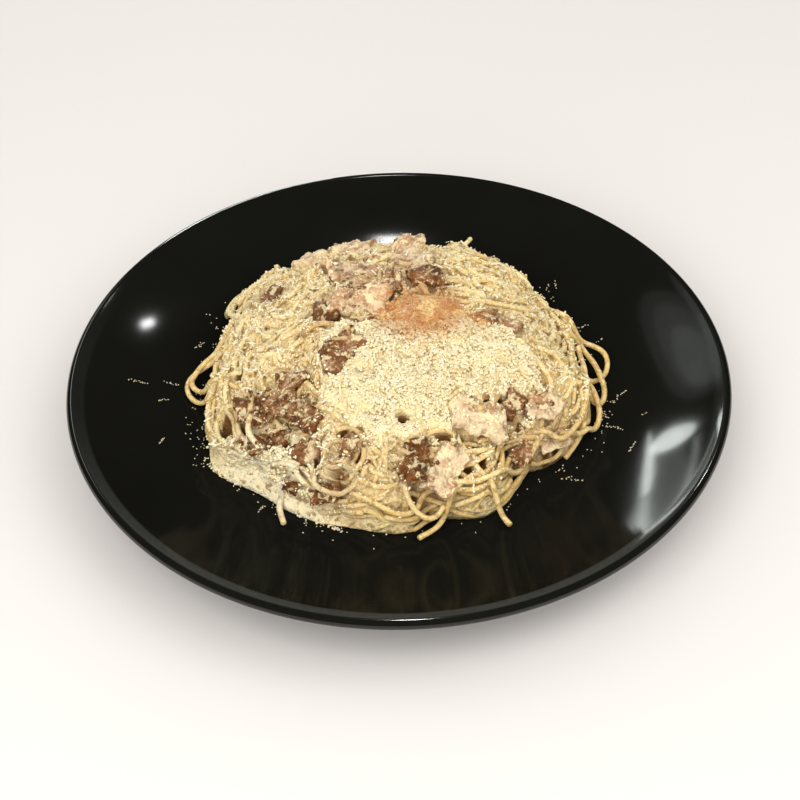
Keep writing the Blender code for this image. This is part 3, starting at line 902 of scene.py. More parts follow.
def disc(radius):
    """Grid steps within a radius, and the height of a ball's cap over each."""
    reach = int(radius / GRID_STEP) + 1
    i, j = np.meshgrid(np.arange(-reach, reach + 1), np.arange(-reach, reach + 1), indexing="ij")
    away = np.hypot(i, j) * GRID_STEP
    inside = away <= radius
    return np.stack([i[inside], j[inside]], -1), np.sqrt(radius**2 - away[inside] ** 2)


def smoothed(field, rounds):
    """A field on the grid, each value evened out with its four neighbours."""
    for _ in range(rounds):
        total = field
        for step, axis in ((1, 0), (-1, 0), (1, 1), (-1, 1)):
            total = total + np.roll(field, step, axis)
        field = total / 5
    return field


# Strands ---------------------------------------------------------------------


class StrandLayer:
    """Lays strands on the height field, each resting on those below it."""

    def __init__(self, ground, radius, seed):
        self.ground, self.radius = ground, radius
        self.random = np.random.default_rng(seed)
        self.steps, self.caps = disc(radius)
        angles = np.linspace(-math.pi, math.pi, 721)
        self.reach = heap_reach(angles)
        self.laid = []

    def share(self, x, y):
        """How far out a point lies, as a share of the outline, and its direction."""
        dx, dy = x - HEAP_CENTRE[0], y - HEAP_CENTRE[1]
        angle = math.atan2(dy, dx)
        index = min(719, int((angle + math.pi) / math.tau * 720))
        return math.hypot(dx, dy) / self.reach[index], angle

    def support(self, points):
        """Lowest height of a ball's centre at each point, resting on what is there."""
        cell = self.ground.cells(points)[:, None, :] + self.steps[None]
        cell = np.clip(cell, 0, self.ground.count - 1)
        return (self.ground.z[cell[..., 0], cell[..., 1]] + self.caps).max(1)

    def survey(self):
        """How far the top of a strand would stand over the heap's surface, laid at each grid point."""
        z = self.ground.z
        best = np.full_like(z, -1.0)
        for (i, j), cap in zip(self.steps, self.caps):
            best = np.maximum(best, np.roll(z, (-i, -j), (0, 1)) + cap)
        self.over = best + self.radius - self.ground.target + self.ground.keep_clear

    def over_at(self, x, y):
        i = int((x + GRID_HALF) / GRID_STEP + 0.5)
        j = int((y + GRID_HALF) / GRID_STEP + 0.5)
        return self.over[i, j]

    def wander(self, start, heading, length, turn, restless, outer, stop=None):
        """A smooth wandering line in plan.

        It turns along the heap's outline before it leaves it, veers to where
        there is room, and ends where it would stand too far over the surface.
        """
        x, y = start
        line = [(x, y)]
        bend = turn
        high = 0
        for kick in self.random.normal(size=int(length / LINE_STEP)) * restless:
            bend += (turn - bend) * BEND_BACK + kick
            ahead = LOOK_AHEAD
            share, angle = self.share(x + ahead * math.cos(heading), y + ahead * math.sin(heading))
            if share > outer:
                tangent = angle + math.copysign(math.pi / 2, math.sin(heading - angle))
                inward = min(0.9, (share - outer) * 9.0)
                wanted = tangent + math.copysign(inward, math.sin(heading - angle))
                off = (wanted - heading + math.pi) % math.tau - math.pi
                heading += max(-0.16, min(0.16, off * 0.35))
            elif stop is not None:
                left, right = (
                    self.over_at(x + ahead * math.cos(way), y + ahead * math.sin(way))
                    for way in (heading + 0.5, heading - 0.5)
                )
                heading += VEER * max(-1.0, min(1.0, (right - left) / 0.003))
            heading += bend * LINE_STEP
            x += LINE_STEP * math.cos(heading)
            y += LINE_STEP * math.sin(heading)
            if stop is not None:
                high = high + 1 if self.over_at(x, y) > stop else 0
                if high > 5:
                    return np.array(line[:-4])
            line.append((x, y))
        return np.array(line)

    def rest(self, line, low=None, slack=0.00025, rounds=70):
        """Lets a line in plan come to rest; low gives heights under which its centre mustn't lie."""
        floor = self.support(line) - slack
        if low is not None:
            floor = np.maximum(floor, low)
        z = floor.copy()
        for _ in range(rounds):
            soft = z.copy()
            soft[1:-1] = evened(z)
            z = np.maximum(floor, soft)
        for _ in range(3):
            z[1:-1] = evened(z)
        return np.column_stack([line, z])

    def stamp(self, points):
        """Adds a laid strand to the heights."""
        fine = resampled(points, GRID_STEP)
        cell = np.clip(self.ground.cells(fine)[:, None, :] + self.steps[None], 0, self.ground.count - 1)
        np.maximum.at(self.ground.z, (cell[..., 0], cell[..., 1]), fine[:, 2:3] + self.caps)

    def lay(self, line, low=None, **more):
        points = self.rest(line, low, **more)
        self.stamp(points)
        self.laid.append(points)
        return points

    def fill(self, limit, longest, tries=6, most=600, foot=False):
        """Strands laid where the heap is lowest, until none fits under the limit.

        At the foot they follow the outline.
        """
        misses = 0
        dx, dy = self.ground.x - HEAP_CENTRE[0], self.ground.y - HEAP_CENTRE[1]
        share = np.hypot(dx, dy) / heap_reach(np.arctan2(dy, dx))
        inside = (share > 0.86) & (share < 0.985) if foot else share < 0.955
        while misses < 12 and len(self.laid) < most:
            self.survey()
            low = np.argwhere(inside & (self.over < limit))
            if len(low) < 40:
                break
            best = None
            for _ in range(tries):
                i, j = low[self.random.integers(len(low))]
                start = (self.ground.x[i, j], self.ground.y[i, j])
                way_round = self.random.choice((-1, 1))
                if foot:
                    outward = math.atan2(dy[i, j], dx[i, j])
                    heading = outward + way_round * math.pi / 2 + self.random.normal() * 0.12
                    outer = min(0.983, float(share[i, j]) + 0.01)
                    turn = way_round / 0.080
                else:
                    heading = self.random.uniform(-math.pi, math.pi)
                    outer = self.random.uniform(0.86, 0.965)
                    turn = way_round / self.random.uniform(0.007, 0.030)
                halves = [
                    self.wander(
                        start,
                        heading + flip,
                        longest * self.random.uniform(0.25, 0.6),
                        way * turn,
                        4.0 if foot else 13.0,
                        outer,
                        stop=limit + ROOM,
                    )
                    for flip, way in ((0.0, 1), (math.pi, -1))
                ]
                line = np.concatenate([halves[1][:0:-1], halves[0]])
                if len(line) < 14:
                    continue
                over = self.over[tuple(self.ground.cells(line).T)]
                room = -np.minimum(over - limit, 0.0).mean() * min(len(line), 90)
                score = room - 4.0 * np.maximum(over - limit - 0.001, 0.0).sum()
                if best is None or score > best[0]:
                    best = (score, line)
            if best is None:
                misses += 1
                continue
            misses = 0
            self.lay(best[1])
            side = 1
            while self.random.uniform() < BUNDLED:
                self.survey()
                beside = self.beside(best[1], side, limit + ROOM)
                if len(beside) < 16:
                    break
                self.lay(beside)
                side = -side if side > 0 else 1 - side

    def beside(self, line, side, stop):
        """The longest stretch of a line next to another that stays under the limit."""
        ahead = np.gradient(line, axis=0)
        ahead /= np.linalg.norm(ahead, axis=1)[:, None]
        waves = np.arange(len(line)) * self.random.uniform(0.06, 0.16)
        drift = 1.0 + 0.12 * np.sin(waves + self.random.uniform(0, 6))
        aside = np.column_stack([-ahead[:, 1], ahead[:, 0]])
        moved = line + aside * (side * 2 * self.radius * drift)[:, None]
        cell = self.ground.cells(moved)
        fits = self.over[cell[:, 0], cell[:, 1]] < stop
        best, start = (0, 0), None
        for index, fit in enumerate([*fits, False]):
            if fit and start is None:
                start = index
            elif not fit and start is not None:
                best = max(best, (index - start, start))
                start = None
        return moved[best[1] : best[1] + best[0]]

    def arcs_at_edge(self, count, outer, inner):
        """Strands that come out to the outline at the foot and turn back into the heap."""
        for number in range(count):
            middle = math.tau * number * 0.618034
            half = math.radians(self.random.uniform(15, 38))
            along = np.linspace(-1, 1, max(12, int(2 * half * 0.075 / LINE_STEP)))
            angles = middle + half * along
            lean = self.random.uniform(-0.35, 0.35)
            drop = (outer - inner) * np.abs(along + lean) ** 2.4
            phase = self.random.uniform(0, math.tau)
            wobble = 0.006 * np.sin(angles * 11 + phase) + 0.004 * np.sin(angles * 23 + 2 * phase)
            reach = heap_reach(angles) * (self.random.uniform(outer - 0.03, outer) - drop + wobble)
            self.lay(HEAP_CENTRE + reach[:, None] * np.column_stack([np.cos(angles), np.sin(angles)]))

    def coil(self, x, y, radius, turns, start, shrink):
        """A strand wound round a point."""
        share = np.linspace(0, 1, int(math.tau * radius * turns / LINE_STEP))
        angles = math.radians(start) + math.tau * turns * share
        reach = radius * (1 - (1 - shrink) * share) * (1 + 0.06 * np.sin(2 * angles + start))
        line = np.column_stack([x + reach * np.cos(angles), y + 0.92 * reach * np.sin(angles)])
        self.lay(line, rounds=30)

    def over_others(self, route, rounds=30):
        """A strand along a route of (x, y), on top of what is there."""
        self.lay(drawn_through(route), rounds=rounds)

    def authored(self, route, tails, rounds=14):
        """A strand along a route of (x, y, height over the plate).

        At the tails, each (end, length, turn), it runs on into the heap.
        """
        fine = drawn_through(route)
        line, over = fine[:, :2], fine[:, 2]
        low = plate_height(np.hypot(line[:, 0], line[:, 1])) + over
        parts, lows = [line], [low]
        for end, length, turn in tails:
            tip, before = (line[-1], line[-4]) if end else (line[0], line[3])
            heading = math.atan2(*(tip - before)[::-1])
            tail = self.wander(tip, heading, length, turn, 3.0, 0.90)[1:]
            nothing = np.full(len(tail), -1.0)
            if end:
                parts.append(tail)
                lows.append(nothing)
            else:
                parts.insert(0, tail[::-1])
                lows.insert(0, nothing)
        self.lay(np.concatenate(parts), np.concatenate(lows), rounds=rounds)


def smooth_line(points, steps):
    """Points on a Catmull-Rom curve through the given ones."""
    ends = np.concatenate([[2 * points[0] - points[1]], points, [2 * points[-1] - points[-2]]])
    line = []
    for before, start, end, after in zip(ends, ends[1:], ends[2:], ends[3:]):
        for step in range(steps):
            t = step / steps
            cubic = 3 * start - before - 3 * end + after
            square = 2 * before - 5 * start + 4 * end - after
            line.append(0.5 * (2 * start + (end - before) * t + square * t**2 + cubic * t**3))
    line.append(points[-1])
    return np.array(line)


def resampled(points, step):
    """The same line with its points evenly spaced."""
    along = np.concatenate([[0], np.cumsum(np.linalg.norm(np.diff(points, axis=0), axis=1))])
    count = max(2, int(round(along[-1] / step)) + 1)
    wanted = np.linspace(0, along[-1], count)
    return np.column_stack([np.interp(wanted, along, values) for values in points.T])


def drawn_through(route):
    """Evenly spaced points on a curve through a route's points."""
    return resampled(smooth_line(np.array(route), 8), LINE_STEP)


def evened(values):
    """Each inner value, evened out with its two neighbours."""
    return 0.25 * values[:-2] + 0.5 * values[1:-1] + 0.25 * values[2:]


def lump(x, y, scale, layer):
    """Smooth noise over the plate; each layer has its own."""
    return noise.noise(Vector((x * scale, y * scale, layer)))


def tube(points, radius, sides, swell=None):
    """Vertices and faces of a round strand with blunt, slightly rounded ends."""
    ahead = np.gradient(points, axis=0)
    ahead /= np.linalg.norm(ahead, axis=1)[:, None]
    side = np.cross(ahead[0], (0, 0, 1.0))
    side /= max(1e-9, np.linalg.norm(side))
    sideways = [side]
    for tangent in ahead[1:]:
        side = side - tangent * side.dot(tangent)
        side /= np.linalg.norm(side)
        sideways.append(side)
    across = np.array(sideways)
    upward = np.cross(across, ahead)
    radii = np.full(len(points), radius) if swell is None else radius * swell
    back, front = points[:1] - ahead[:1] * radius * 0.22, points[-1:] + ahead[-1:] * radius * 0.22
    centres = np.concatenate([back, points, front])
    across = np.concatenate([across[:1], across, across[-1:]])
    upward = np.concatenate([upward[:1], upward, upward[-1:]])
    radii = np.concatenate([radii[:1] * 0.74, radii, radii[-1:] * 0.74])
    turns = np.arange(sides) * math.tau / sides
    cosines, sines = np.cos(turns)[None, :, None], np.sin(turns)[None, :, None]
    ring = cosines * across[:, None] + sines * upward[:, None]
    verts = (centres[:, None] + radii[:, None, None] * ring).reshape(-1, 3)
    rows = len(centres)
    base = np.arange(rows - 1)[:, None] * sides + np.arange(sides)[None]
    after = np.arange(rows - 1)[:, None] * sides + (np.arange(sides) + 1)[None] % sides
    quads = np.stack([base, after, after + sides, base + sides], -1).reshape(-1, 4)
    tips = len(verts) + np.arange(2)
    back, front = centres[:1] - ahead[:1] * radius * 0.12, centres[-1:] + ahead[-1:] * radius * 0.12
    verts = np.concatenate([verts, back, front])
    last = (rows - 1) * sides
    spokes = np.arange(sides)
    caps = np.concatenate(
        [
            np.stack([np.full(sides, tips[0]), (spokes + 1) % sides, spokes], -1),
            np.stack([np.full(sides, tips[1]), last + spokes, last + (spokes + 1) % sides], -1),
        ]
    )
    return verts, quads, caps


def add_attributes(mesh, attributes):
    """Numbers or vectors at each vertex, for the finishes."""
    for key, values in attributes.items():
        values = np.asarray(values, np.float32)
        kind, field = ("FLOAT_VECTOR", "vector") if values.ndim == 2 else ("FLOAT", "value")
        mesh.attributes.new(key, kind, "POINT").data.foreach_set(field, values.ravel())


def build_mesh(name, verts, quads, triangles, finish, attributes=None):
    """A smooth-shaded object from arrays of vertices, quads and triangles."""
    mesh = bpy.data.meshes.new(name)
    mesh.vertices.add(len(verts))
    mesh.vertices.foreach_set("co", np.asarray(verts, np.float32).ravel())
    corners = np.concatenate([np.asarray(faces).ravel() for faces in (quads, triangles)])
    counts = np.concatenate([np.full(len(quads), 4), np.full(len(triangles), 3)]).astype(np.int32)
    mesh.loops.add(len(corners))
    mesh.loops.foreach_set("vertex_index", corners.astype(np.int32))
    mesh.polygons.add(len(counts))
    starts = np.concatenate([[0], np.cumsum(counts)[:-1]]).astype(np.int32)
    mesh.polygons.foreach_set("loop_start", starts)
    mesh.polygons.foreach_set("loop_total", counts)
    mesh.update(calc_edges=True)
    mesh.validate()
    mesh.shade_smooth()
    add_attributes(mesh, attributes or {})
    mesh.materials.append(finish)
    obj = bpy.data.objects.new(name, mesh)
    bpy.context.scene.collection.objects.link(obj)
    return obj


def turned_skin(rows, top, under):
    """A closed skin of rows of points round an axis, with a point at the top and one under it."""
    count = len(rows[0])
    verts = np.concatenate([*rows, [top, under]])
    spoke, after = np.arange(count), (np.arange(count) + 1) % count
    last = (len(rows) - 1) * count
    quads = [
        np.stack([row + spoke, row + count + spoke, row + count + after, row + after], -1)
        for row in range(0, last, count)
    ]
    caps = [
        np.stack([np.full(count, len(verts) - 2), spoke, after], -1),
        np.stack([np.full(count, len(verts) - 1), last + after, last + spoke], -1),
    ]
    return verts, np.concatenate(quads), np.concatenate(caps)


def joined(parts):
    """Vertices, quads and triangles of many small meshes as one."""
    verts, quads, triangles, start = [], [], [], 0
    for part_verts, part_quads, part_triangles in parts:
        verts.append(part_verts)
        quads.append(part_quads + start)
        triangles.append(part_triangles + start)
        start += len(part_verts)
    return np.concatenate(verts), np.concatenate(quads), np.concatenate(triangles)


def keep(obj, slot, *nodes):
    """Puts a finished piece on its body and hides the nodes that it stands for; the slot is not used.
    """
    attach(obj, BODY)
    if nodes:
        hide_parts(*nodes)
    return obj


ground = HeightField()


# Operators ---------------------------------------------------------------------


class CARBONARA_OT_plate(bpy.types.Operator):
    """Turn the glazed plate on its foot ring"""

    bl_idname = "carbonara.plate"
    bl_label = "Plate"

    def execute(self, context):
        profile = plate_profile()
        count = 192
        turns = np.arange(count) * math.tau / count
        rings = [
            np.column_stack([radius * np.cos(turns), radius * np.sin(turns), np.full(count, height)])
            for radius, height in profile[1:-1]
        ]
        skin = turned_skin(rings, (0, 0, profile[0][1]), (0, 0, profile[-1][1]))
        plate = build_mesh("glazed_plate", *skin, glaze_finish())
        keep(plate, "plate_glaze", "plate")
        return {"FINISHED"}


def plate_profile():
    """Radius and height from the centre of the floor, over the lip, to the centre beneath."""
    slope_step = 1e-5

    def under(radius):
        rise = plate_height(radius + slope_step) - plate_height(radius - slope_step)
        slope = math.atan2(rise, 2 * slope_step)
        return radius + WALL * math.sin(slope), float(plate_height(radius)) - WALL * math.cos(slope)

    wall = np.linspace(FLOOR_RADIUS, rim_start(), 26)
    profile = [(0.0, FLOOR_Z)] + [(radius, FLOOR_Z) for radius in (0.015, 0.03, 0.045)]
    profile += [(radius, float(plate_height(radius))) for radius in wall]
    inner, outer = Vector(profile[-1]), Vector(under(wall[-1]))
    centre = (inner + outer) / 2
    start = math.atan2(inner.y - centre.y, inner.x - centre.x)
    for step in range(1, 14):
        turn = start - math.pi * step / 14
        profile.append((centre.x + WALL / 2 * math.cos(turn), centre.y + WALL / 2 * math.sin(turn)))
    profile += [under(radius) for radius in reversed(wall[6:])]
    foot_top = under(FOOT_OUTER)[1]
    soft = 0.0006
    profile += [
        (FOOT_OUTER + 0.0012, foot_top),
        (FOOT_OUTER + 0.0002, foot_top * 0.5),
        (FOOT_OUTER, soft),
        (FOOT_OUTER - soft, 0.0),
        (FOOT_INNER + soft, 0.0),
        (FOOT_INNER, soft),
        (FOOT_INNER - 0.0006, FOOT_RECESS - soft),
        (FOOT_INNER - 0.0014, FOOT_RECESS),
        (0.03, FOOT_RECESS),
        (0.0, FOOT_RECESS),
    ]
    return profile


class CARBONARA_OT_spaghetti(bpy.types.Operator):
    """Lay the strands of the heap, each resting on those below, and fill them in with sauce"""

    bl_idname = "carbonara.spaghetti"
    bl_label = "Spaghetti"

    def execute(self, context):
        nodes = frame["nodes"]
        heap = ground.cast(nodes["spaghetti_heap"], -1.0)
        ground.target = np.maximum(smoothed(np.where(heap > 0, heap, ground.plate), 2), ground.plate)
        dip = np.exp(-(((ground.x - 0.016) / 0.009) ** 2 + ((ground.y - 0.074) / 0.016) ** 2))
        ground.target = np.maximum(ground.target - 0.0080 * dip, ground.plate)
        under_yolk = ground.cast(nodes["egg_yolk"], 1.0, below=True)
        underside = np.minimum(ground.bacon_under + 0.0010, under_yolk + 0.0050)
        ground.keep_clear = np.maximum(0.0, ground.target - underside)
        ground.keep_clear = smoothed(ground.keep_clear, 1)
        holes = hole_depths()
        ground.keep_clear = np.maximum(ground.keep_clear, holes)
        share = share_of_outline(ground.x, ground.y)
        packed = ground.target - 0.8 * ground.keep_clear - sizes().core_depth
        ground.raise_to(np.where(share < 0.90, packed, -1.0))
        ground.cream = cream_drift(ground.x, ground.y)
        radius = sizes().strand_diameter / 2
        layer = StrandLayer(ground, radius, seed=41)
        layer.fill(limit=-0.0030, longest=0.12, foot=True)
        layer.arcs_at_edge(count=14, outer=0.985, inner=0.88)
        layer.fill(limit=-0.0012, longest=0.10, foot=True)
        for name, tails in (
            ("left", ((0, 0.05, -25.0), (1, 0.06, -30.0))),
            ("left_inner", ((0, 0.04, 20.0), (1, 0.05, 20.0))),
            ("upper_left", ((0, 0.05, -12.0), (1, 0.06, 18.0))),
            ("right_upper", ((0, 0.06, 22.0), (1, 0.05, -25.0))),
            ("right_inner", ((0, 0.05, -20.0), (1, 0.04, -20.0))),
            ("right_lower", ((0, 0.05, 25.0), (1, 0.06, -14.0))),
        ):
            layer.authored(LOOPS[name], tails)
        for name, tails in (
            ("front_left", ((0, 0.08, 10.0),)),
            ("front_right", ((0, 0.08, -12.0),)),
            ("front_far_right", ((0, 0.08, -10.0),)),
            ("back_knob", ((0, 0.06, 12.0),)),
        ):
            layer.authored(LOOSE_ENDS[name], tails)
        first = len(layer.laid)
        for route in SURFACE_STRANDS:
            layer.over_others(route)
        for strand in layer.laid[first:]:
            strand[:, 2] -= SURFACE_SUNK
        for coil in COILS:
            layer.coil(*coil)
        layer.fill(limit=0.0002, longest=0.10, foot=True)
        layer.fill(limit=0.0004, longest=0.20)
        ground.dripping = ground.dripping * (1 - 0.85 * ground.cream)
        laid = layer.laid
        for strand in laid:
            creamy = ground.at(strand, ground.cream)
            sunk = strand[:, 2] - CREAM_SUNK * creamy
            lowest = ground.at(strand, ground.plate) + PLATE_GAP
            strand[:, 2] = np.minimum(strand[:, 2], np.maximum(sunk, lowest))
            reached = share_of_outline(strand[:, 0], strand[:, 1])
            near = np.clip(creamy / 0.25, 0, 1) * np.clip((DRAWN_TO - reached) / 0.03, 0, 1)
            drawn = near * np.maximum(0, reached - DRAWN_FROM)
            strand[:, :2] -= (strand[:, :2] - HEAP_CENTRE) * (drawn / reached)[:, None]
        cut = len(laid) // 2
        finish = pasta_finish()
        for name, strands in (("spaghetti_lower", laid[:cut]), ("spaghetti_upper", laid[cut:])):
            piece = make_strands(name, strands, radius, finish, seed=100 + cut)
            keep(piece, "pasta", "spaghetti_heap")
        filled = sauce_heights(share, holes)
        keep(make_core(filled, holes), "pasta")
        lines = ridges_in_sauce(filled, holes, radius)
        ridges = make_strands("spaghetti_ridges", lines, 0.86 * radius, finish, seed=300, sides=6)
        keep(ridges, "pasta")
        ground.raise_to(ground.cast(ridges, -1.0))
        ground.raise_to(np.where(share < 0.95, filled, -1.0))
        ground.raise_to(ground.bacon_top)
        return {"FINISHED"}


class CARBONARA_OT_crossings(bpy.types.Operator):
    """Lay the strands that cross over the bacon"""

    bl_idname = "carbonara.crossings"
    bl_label = "Crossing strands"

    def execute(self, context):
        radius = sizes().strand_diameter / 2
        layer = StrandLayer(ground, radius, seed=58)
        for route in CROSSING_STRANDS:
            layer.over_others(route, rounds=16)
        finish = bpy.data.materials["egg_pasta"]
        keep(make_strands("spaghetti_crossing", layer.laid, radius, finish, seed=12), "pasta")
        return {"FINISHED"}


def share_of_outline(x, y):
    """How far out points lie, as a share of the outline's distance from the heap's centre."""
    dx, dy = x - HEAP_CENTRE[0], y - HEAP_CENTRE[1]
    return np.hypot(dx, dy) / heap_reach(np.arctan2(dy, dx))


def hole_depths():
    """How deep the holes between the strands go, on the grid."""
    depths = np.zeros_like(ground.z)
    for x, y, wide, deep, depth in HOLES:
        away = np.hypot((ground.x - x) / wide, (ground.y - y) / deep)
        depths = np.maximum(depths, depth * np.exp(-((away / 1.15) ** 4)))
    return depths


def sauce_heights(share, holes):
    """Height of the creamy sauce that fills the gaps between the strands, on the grid."""
    inner = np.clip((0.96 - share) / 0.12, 0.0, 1.0)
    level = 0.5 * smoothed(ground.z, 4) + 0.5 * smoothed(ground.z, 14)
    level = level - 0.0006 + 0.0003 * inner + 0.0024 * ground.cream
    foot = np.clip((share - 0.80) / 0.12, 0.0, 1.0) * (1 - 0.6 * ground.cream)
    level = (1 - foot) * level + foot * (smoothed(ground.z, 3) - 0.0008)
    lumps = np.zeros_like(level)
    for i, j in np.argwhere(share < 0.97 + 0.06 * (ground.cream > 0.05)):
        x, y = ground.x[i, j], ground.y[i, j]
        lumps[i, j] = 0.00045 * lump(x, y, 420, 0.0) + 0.0004 * lump(x, y, 850, 4.0)
        lumps[i, j] += 0.0010 * inner[i, j] * lump(x, y, 75, 9.0)
    lumps += 0.0004 * ground.cream
    level = level + lumps - np.clip(ground.target - level - 0.004, 0.0, 0.002) - holes
    inside = (0.984 + 0.012 * ground.cream - share) / (0.080 + 0.090 * ground.cream)
    edge = np.clip(inside, 0.0, 1.0) ** 0.6
    apron = 0.0130 * ground.cream * np.clip((1.030 - share) / 0.160, 0.0, 1.0) ** 0.75
    apron = apron + 1.2 * lumps * (share < 1.02)
    apron = np.where(ground.cream > 0.05, np.where(share < 1.03, apron, 0.0), 0.0)
    return ground.plate + np.maximum(0.0002, np.maximum((level - ground.plate) * edge, apron))


def ridges_in_sauce(filled, holes, radius):
    """Short stretches of strands, half sunk in the sauce; near the foot they follow the outline."""
    random = np.random.default_rng(64)
    slopes = np.stack(np.gradient(smoothed(filled, 2), GRID_STEP), -1)
    to_edge = np.stack(np.gradient(smoothed(share_of_outline(ground.x, ground.y), 6)), -1)
    out_at = np.arctan2(to_edge[..., 1], to_edge[..., 0])
    barred = (ground.bacon_top > filled) | (holes > 0.0012)
    lines = []
    while len(lines) < sizes().ridge_count:
        point = HEAP_CENTRE + random.uniform(-0.09, 0.09, 2)
        share = float(share_of_outline(*point))
        foot = min(1.0, max(0.0, (share - 0.70) / 0.14))
        near = point[1] < HEAP_CENTRE[1] - 0.02
        steep = min(1.0, float(np.linalg.norm(ground.at(point[None], slopes)[0])) / 1.6)
        if share > 0.975 or random.uniform() > 0.26 + foot * (0.20 + 0.54 * near) * (0.3 + 0.7 * steep):
            continue
        out = float(ground.at(point[None], out_at)[0])
        way = random.choice((-1, 1))
        heading = out + way * math.pi / 2 + random.normal() * (0.12 + 1.4 * (1 - foot))
        turn = (1 - foot) * random.uniform(-1, 1) / random.uniform(0.006, 0.016)
        line = [point]
        for _ in range(int(random.uniform(9, 30))):
            out = float(ground.at(point[None], out_at)[0])
            off = (out + way * math.pi / 2 - heading + math.pi) % math.tau - math.pi
            heading += turn * LINE_STEP + 0.25 * foot * off + random.normal() * (0.09 - 0.05 * foot)
            point = point + LINE_STEP * np.array((math.cos(heading), math.sin(heading)))
            cell = tuple(ground.cells(point[None])[0])
            if share_of_outline(*point) > 0.978 or barred[cell]:
                break
            line.append(point)
        if len(line) < 7:
            continue
        line = np.array(line)
        cells = tuple(ground.cells(line).T)
        outward = np.column_stack([-slopes[cells], np.ones(len(line))])
        outward /= np.linalg.norm(outward, axis=1)[:, None]
        from_end = np.minimum(np.arange(len(line)), np.arange(len(line))[::-1])
        lift = radius * (random.uniform(0.05, 0.50) - 1.5 * np.exp(-from_end / 1.5))
        lines.append(np.column_stack([line, ground.between(line, filled)]) + outward * lift[:, None])
    return lines


def make_core(filled, holes):
    """The sauce between and under the strands, out to the heap's foot, as one closed skin."""
    spokes, rings = 640, 136
    angles = np.arange(spokes) * math.tau / spokes
    around = np.column_stack([np.cos(angles), np.sin(angles)])
    rim = HEAP_CENTRE + heap_reach(angles)[:, None] * around
    reach = heap_reach(angles) * (0.980 + 0.048 * np.clip(ground.at(rim, ground.cream) * 2, 0, 1))
    rows, dark = [], []
    for ring in range(1, rings + 1):
        points = HEAP_CENTRE + (reach * ring / rings)[:, None] * around
        rows.append(np.column_stack([points, ground.between(points, filled)]))
        dark.append(ground.between(points, holes))
    for share in (0.995, 0.6, 0.3):
        points = HEAP_CENTRE + (reach * share)[:, None] * around
        low = plate_height(np.hypot(points[:, 0], points[:, 1])) + 0.0001
        rows.append(np.column_stack([points, low]))
        dark.append(np.zeros(spokes))
    peak = float(ground.at(HEAP_CENTRE[None], filled)[0])
    under = (*HEAP_CENTRE, FLOOR_Z + 0.0001)
    verts, quads, caps = turned_skin(rows, (*HEAP_CENTRE, peak), under)
    dark = np.concatenate([*dark, [0.0, 0.0]])
    cream = ground.at(verts, ground.cream)
    covered = np.clip(share_of_outline(verts[:, 0], verts[:, 1]) * 20 - 17.4, 0, 1)
    covered *= np.clip(cream * 3, 0, 1)
    # The hole attribute is painted shade: darkest where the holes are deep, less where cheese covers
    # the foot.
    attributes = {"hole": np.clip(dark / 0.0019, 0.0, 1.0) * (1 - covered), "cream": cream}
    attributes["dripping"] = ground.at(verts, ground.dripping) * (1 - covered)
    return build_mesh("spaghetti_core", verts, quads, caps, core_finish(), attributes)


def round_holes(points):
    """Strands part where there is a hole, so that it stays open."""
    moved = points.copy()
    for x, y, wide, deep, _ in HOLES:
        away = moved[:, :2] - (x, y)
        scale = np.array((wide, deep)) + 0.0009
        far = np.maximum(0.08, np.linalg.norm(away / scale, axis=1))
        pushed = (far**5 + 1.0) ** 0.2
        moved[:, :2] = (x, y) + away * (pushed / far)[:, None]
    return moved


def make_strands(name, strands, radius, finish, seed, sides=8):
    """One piece of many strands, each a little thicker and thinner along its length."""
    random = np.random.default_rng(seed)
    parts, tones = [], []
    for strand in strands:
        points = round_holes(resampled(strand, TUBE_STEP))
        for _ in range(2):
            points[1:-1] = evened(points)
        waves = np.arange(len(points)) * TUBE_STEP
        phase = random.uniform(0, math.tau)
        swell = 1 + 0.03 * np.sin(waves * 310 + phase) + 0.02 * np.sin(waves * 790 + 2 * phase)
        parts.append(tube(points, radius * random.uniform(0.92, 1.05), sides, swell))
        tones.append(np.full(len(parts[-1][0]), random.uniform(0, 1)))
    verts, quads, triangles = joined(parts)
    attributes = {"tone": np.concatenate(tones), "dripping": ground.at(verts, ground.dripping)}
    attributes["cream"] = ground.at(verts, ground.cream)
    return build_mesh(name, verts, quads, triangles, finish, attributes)


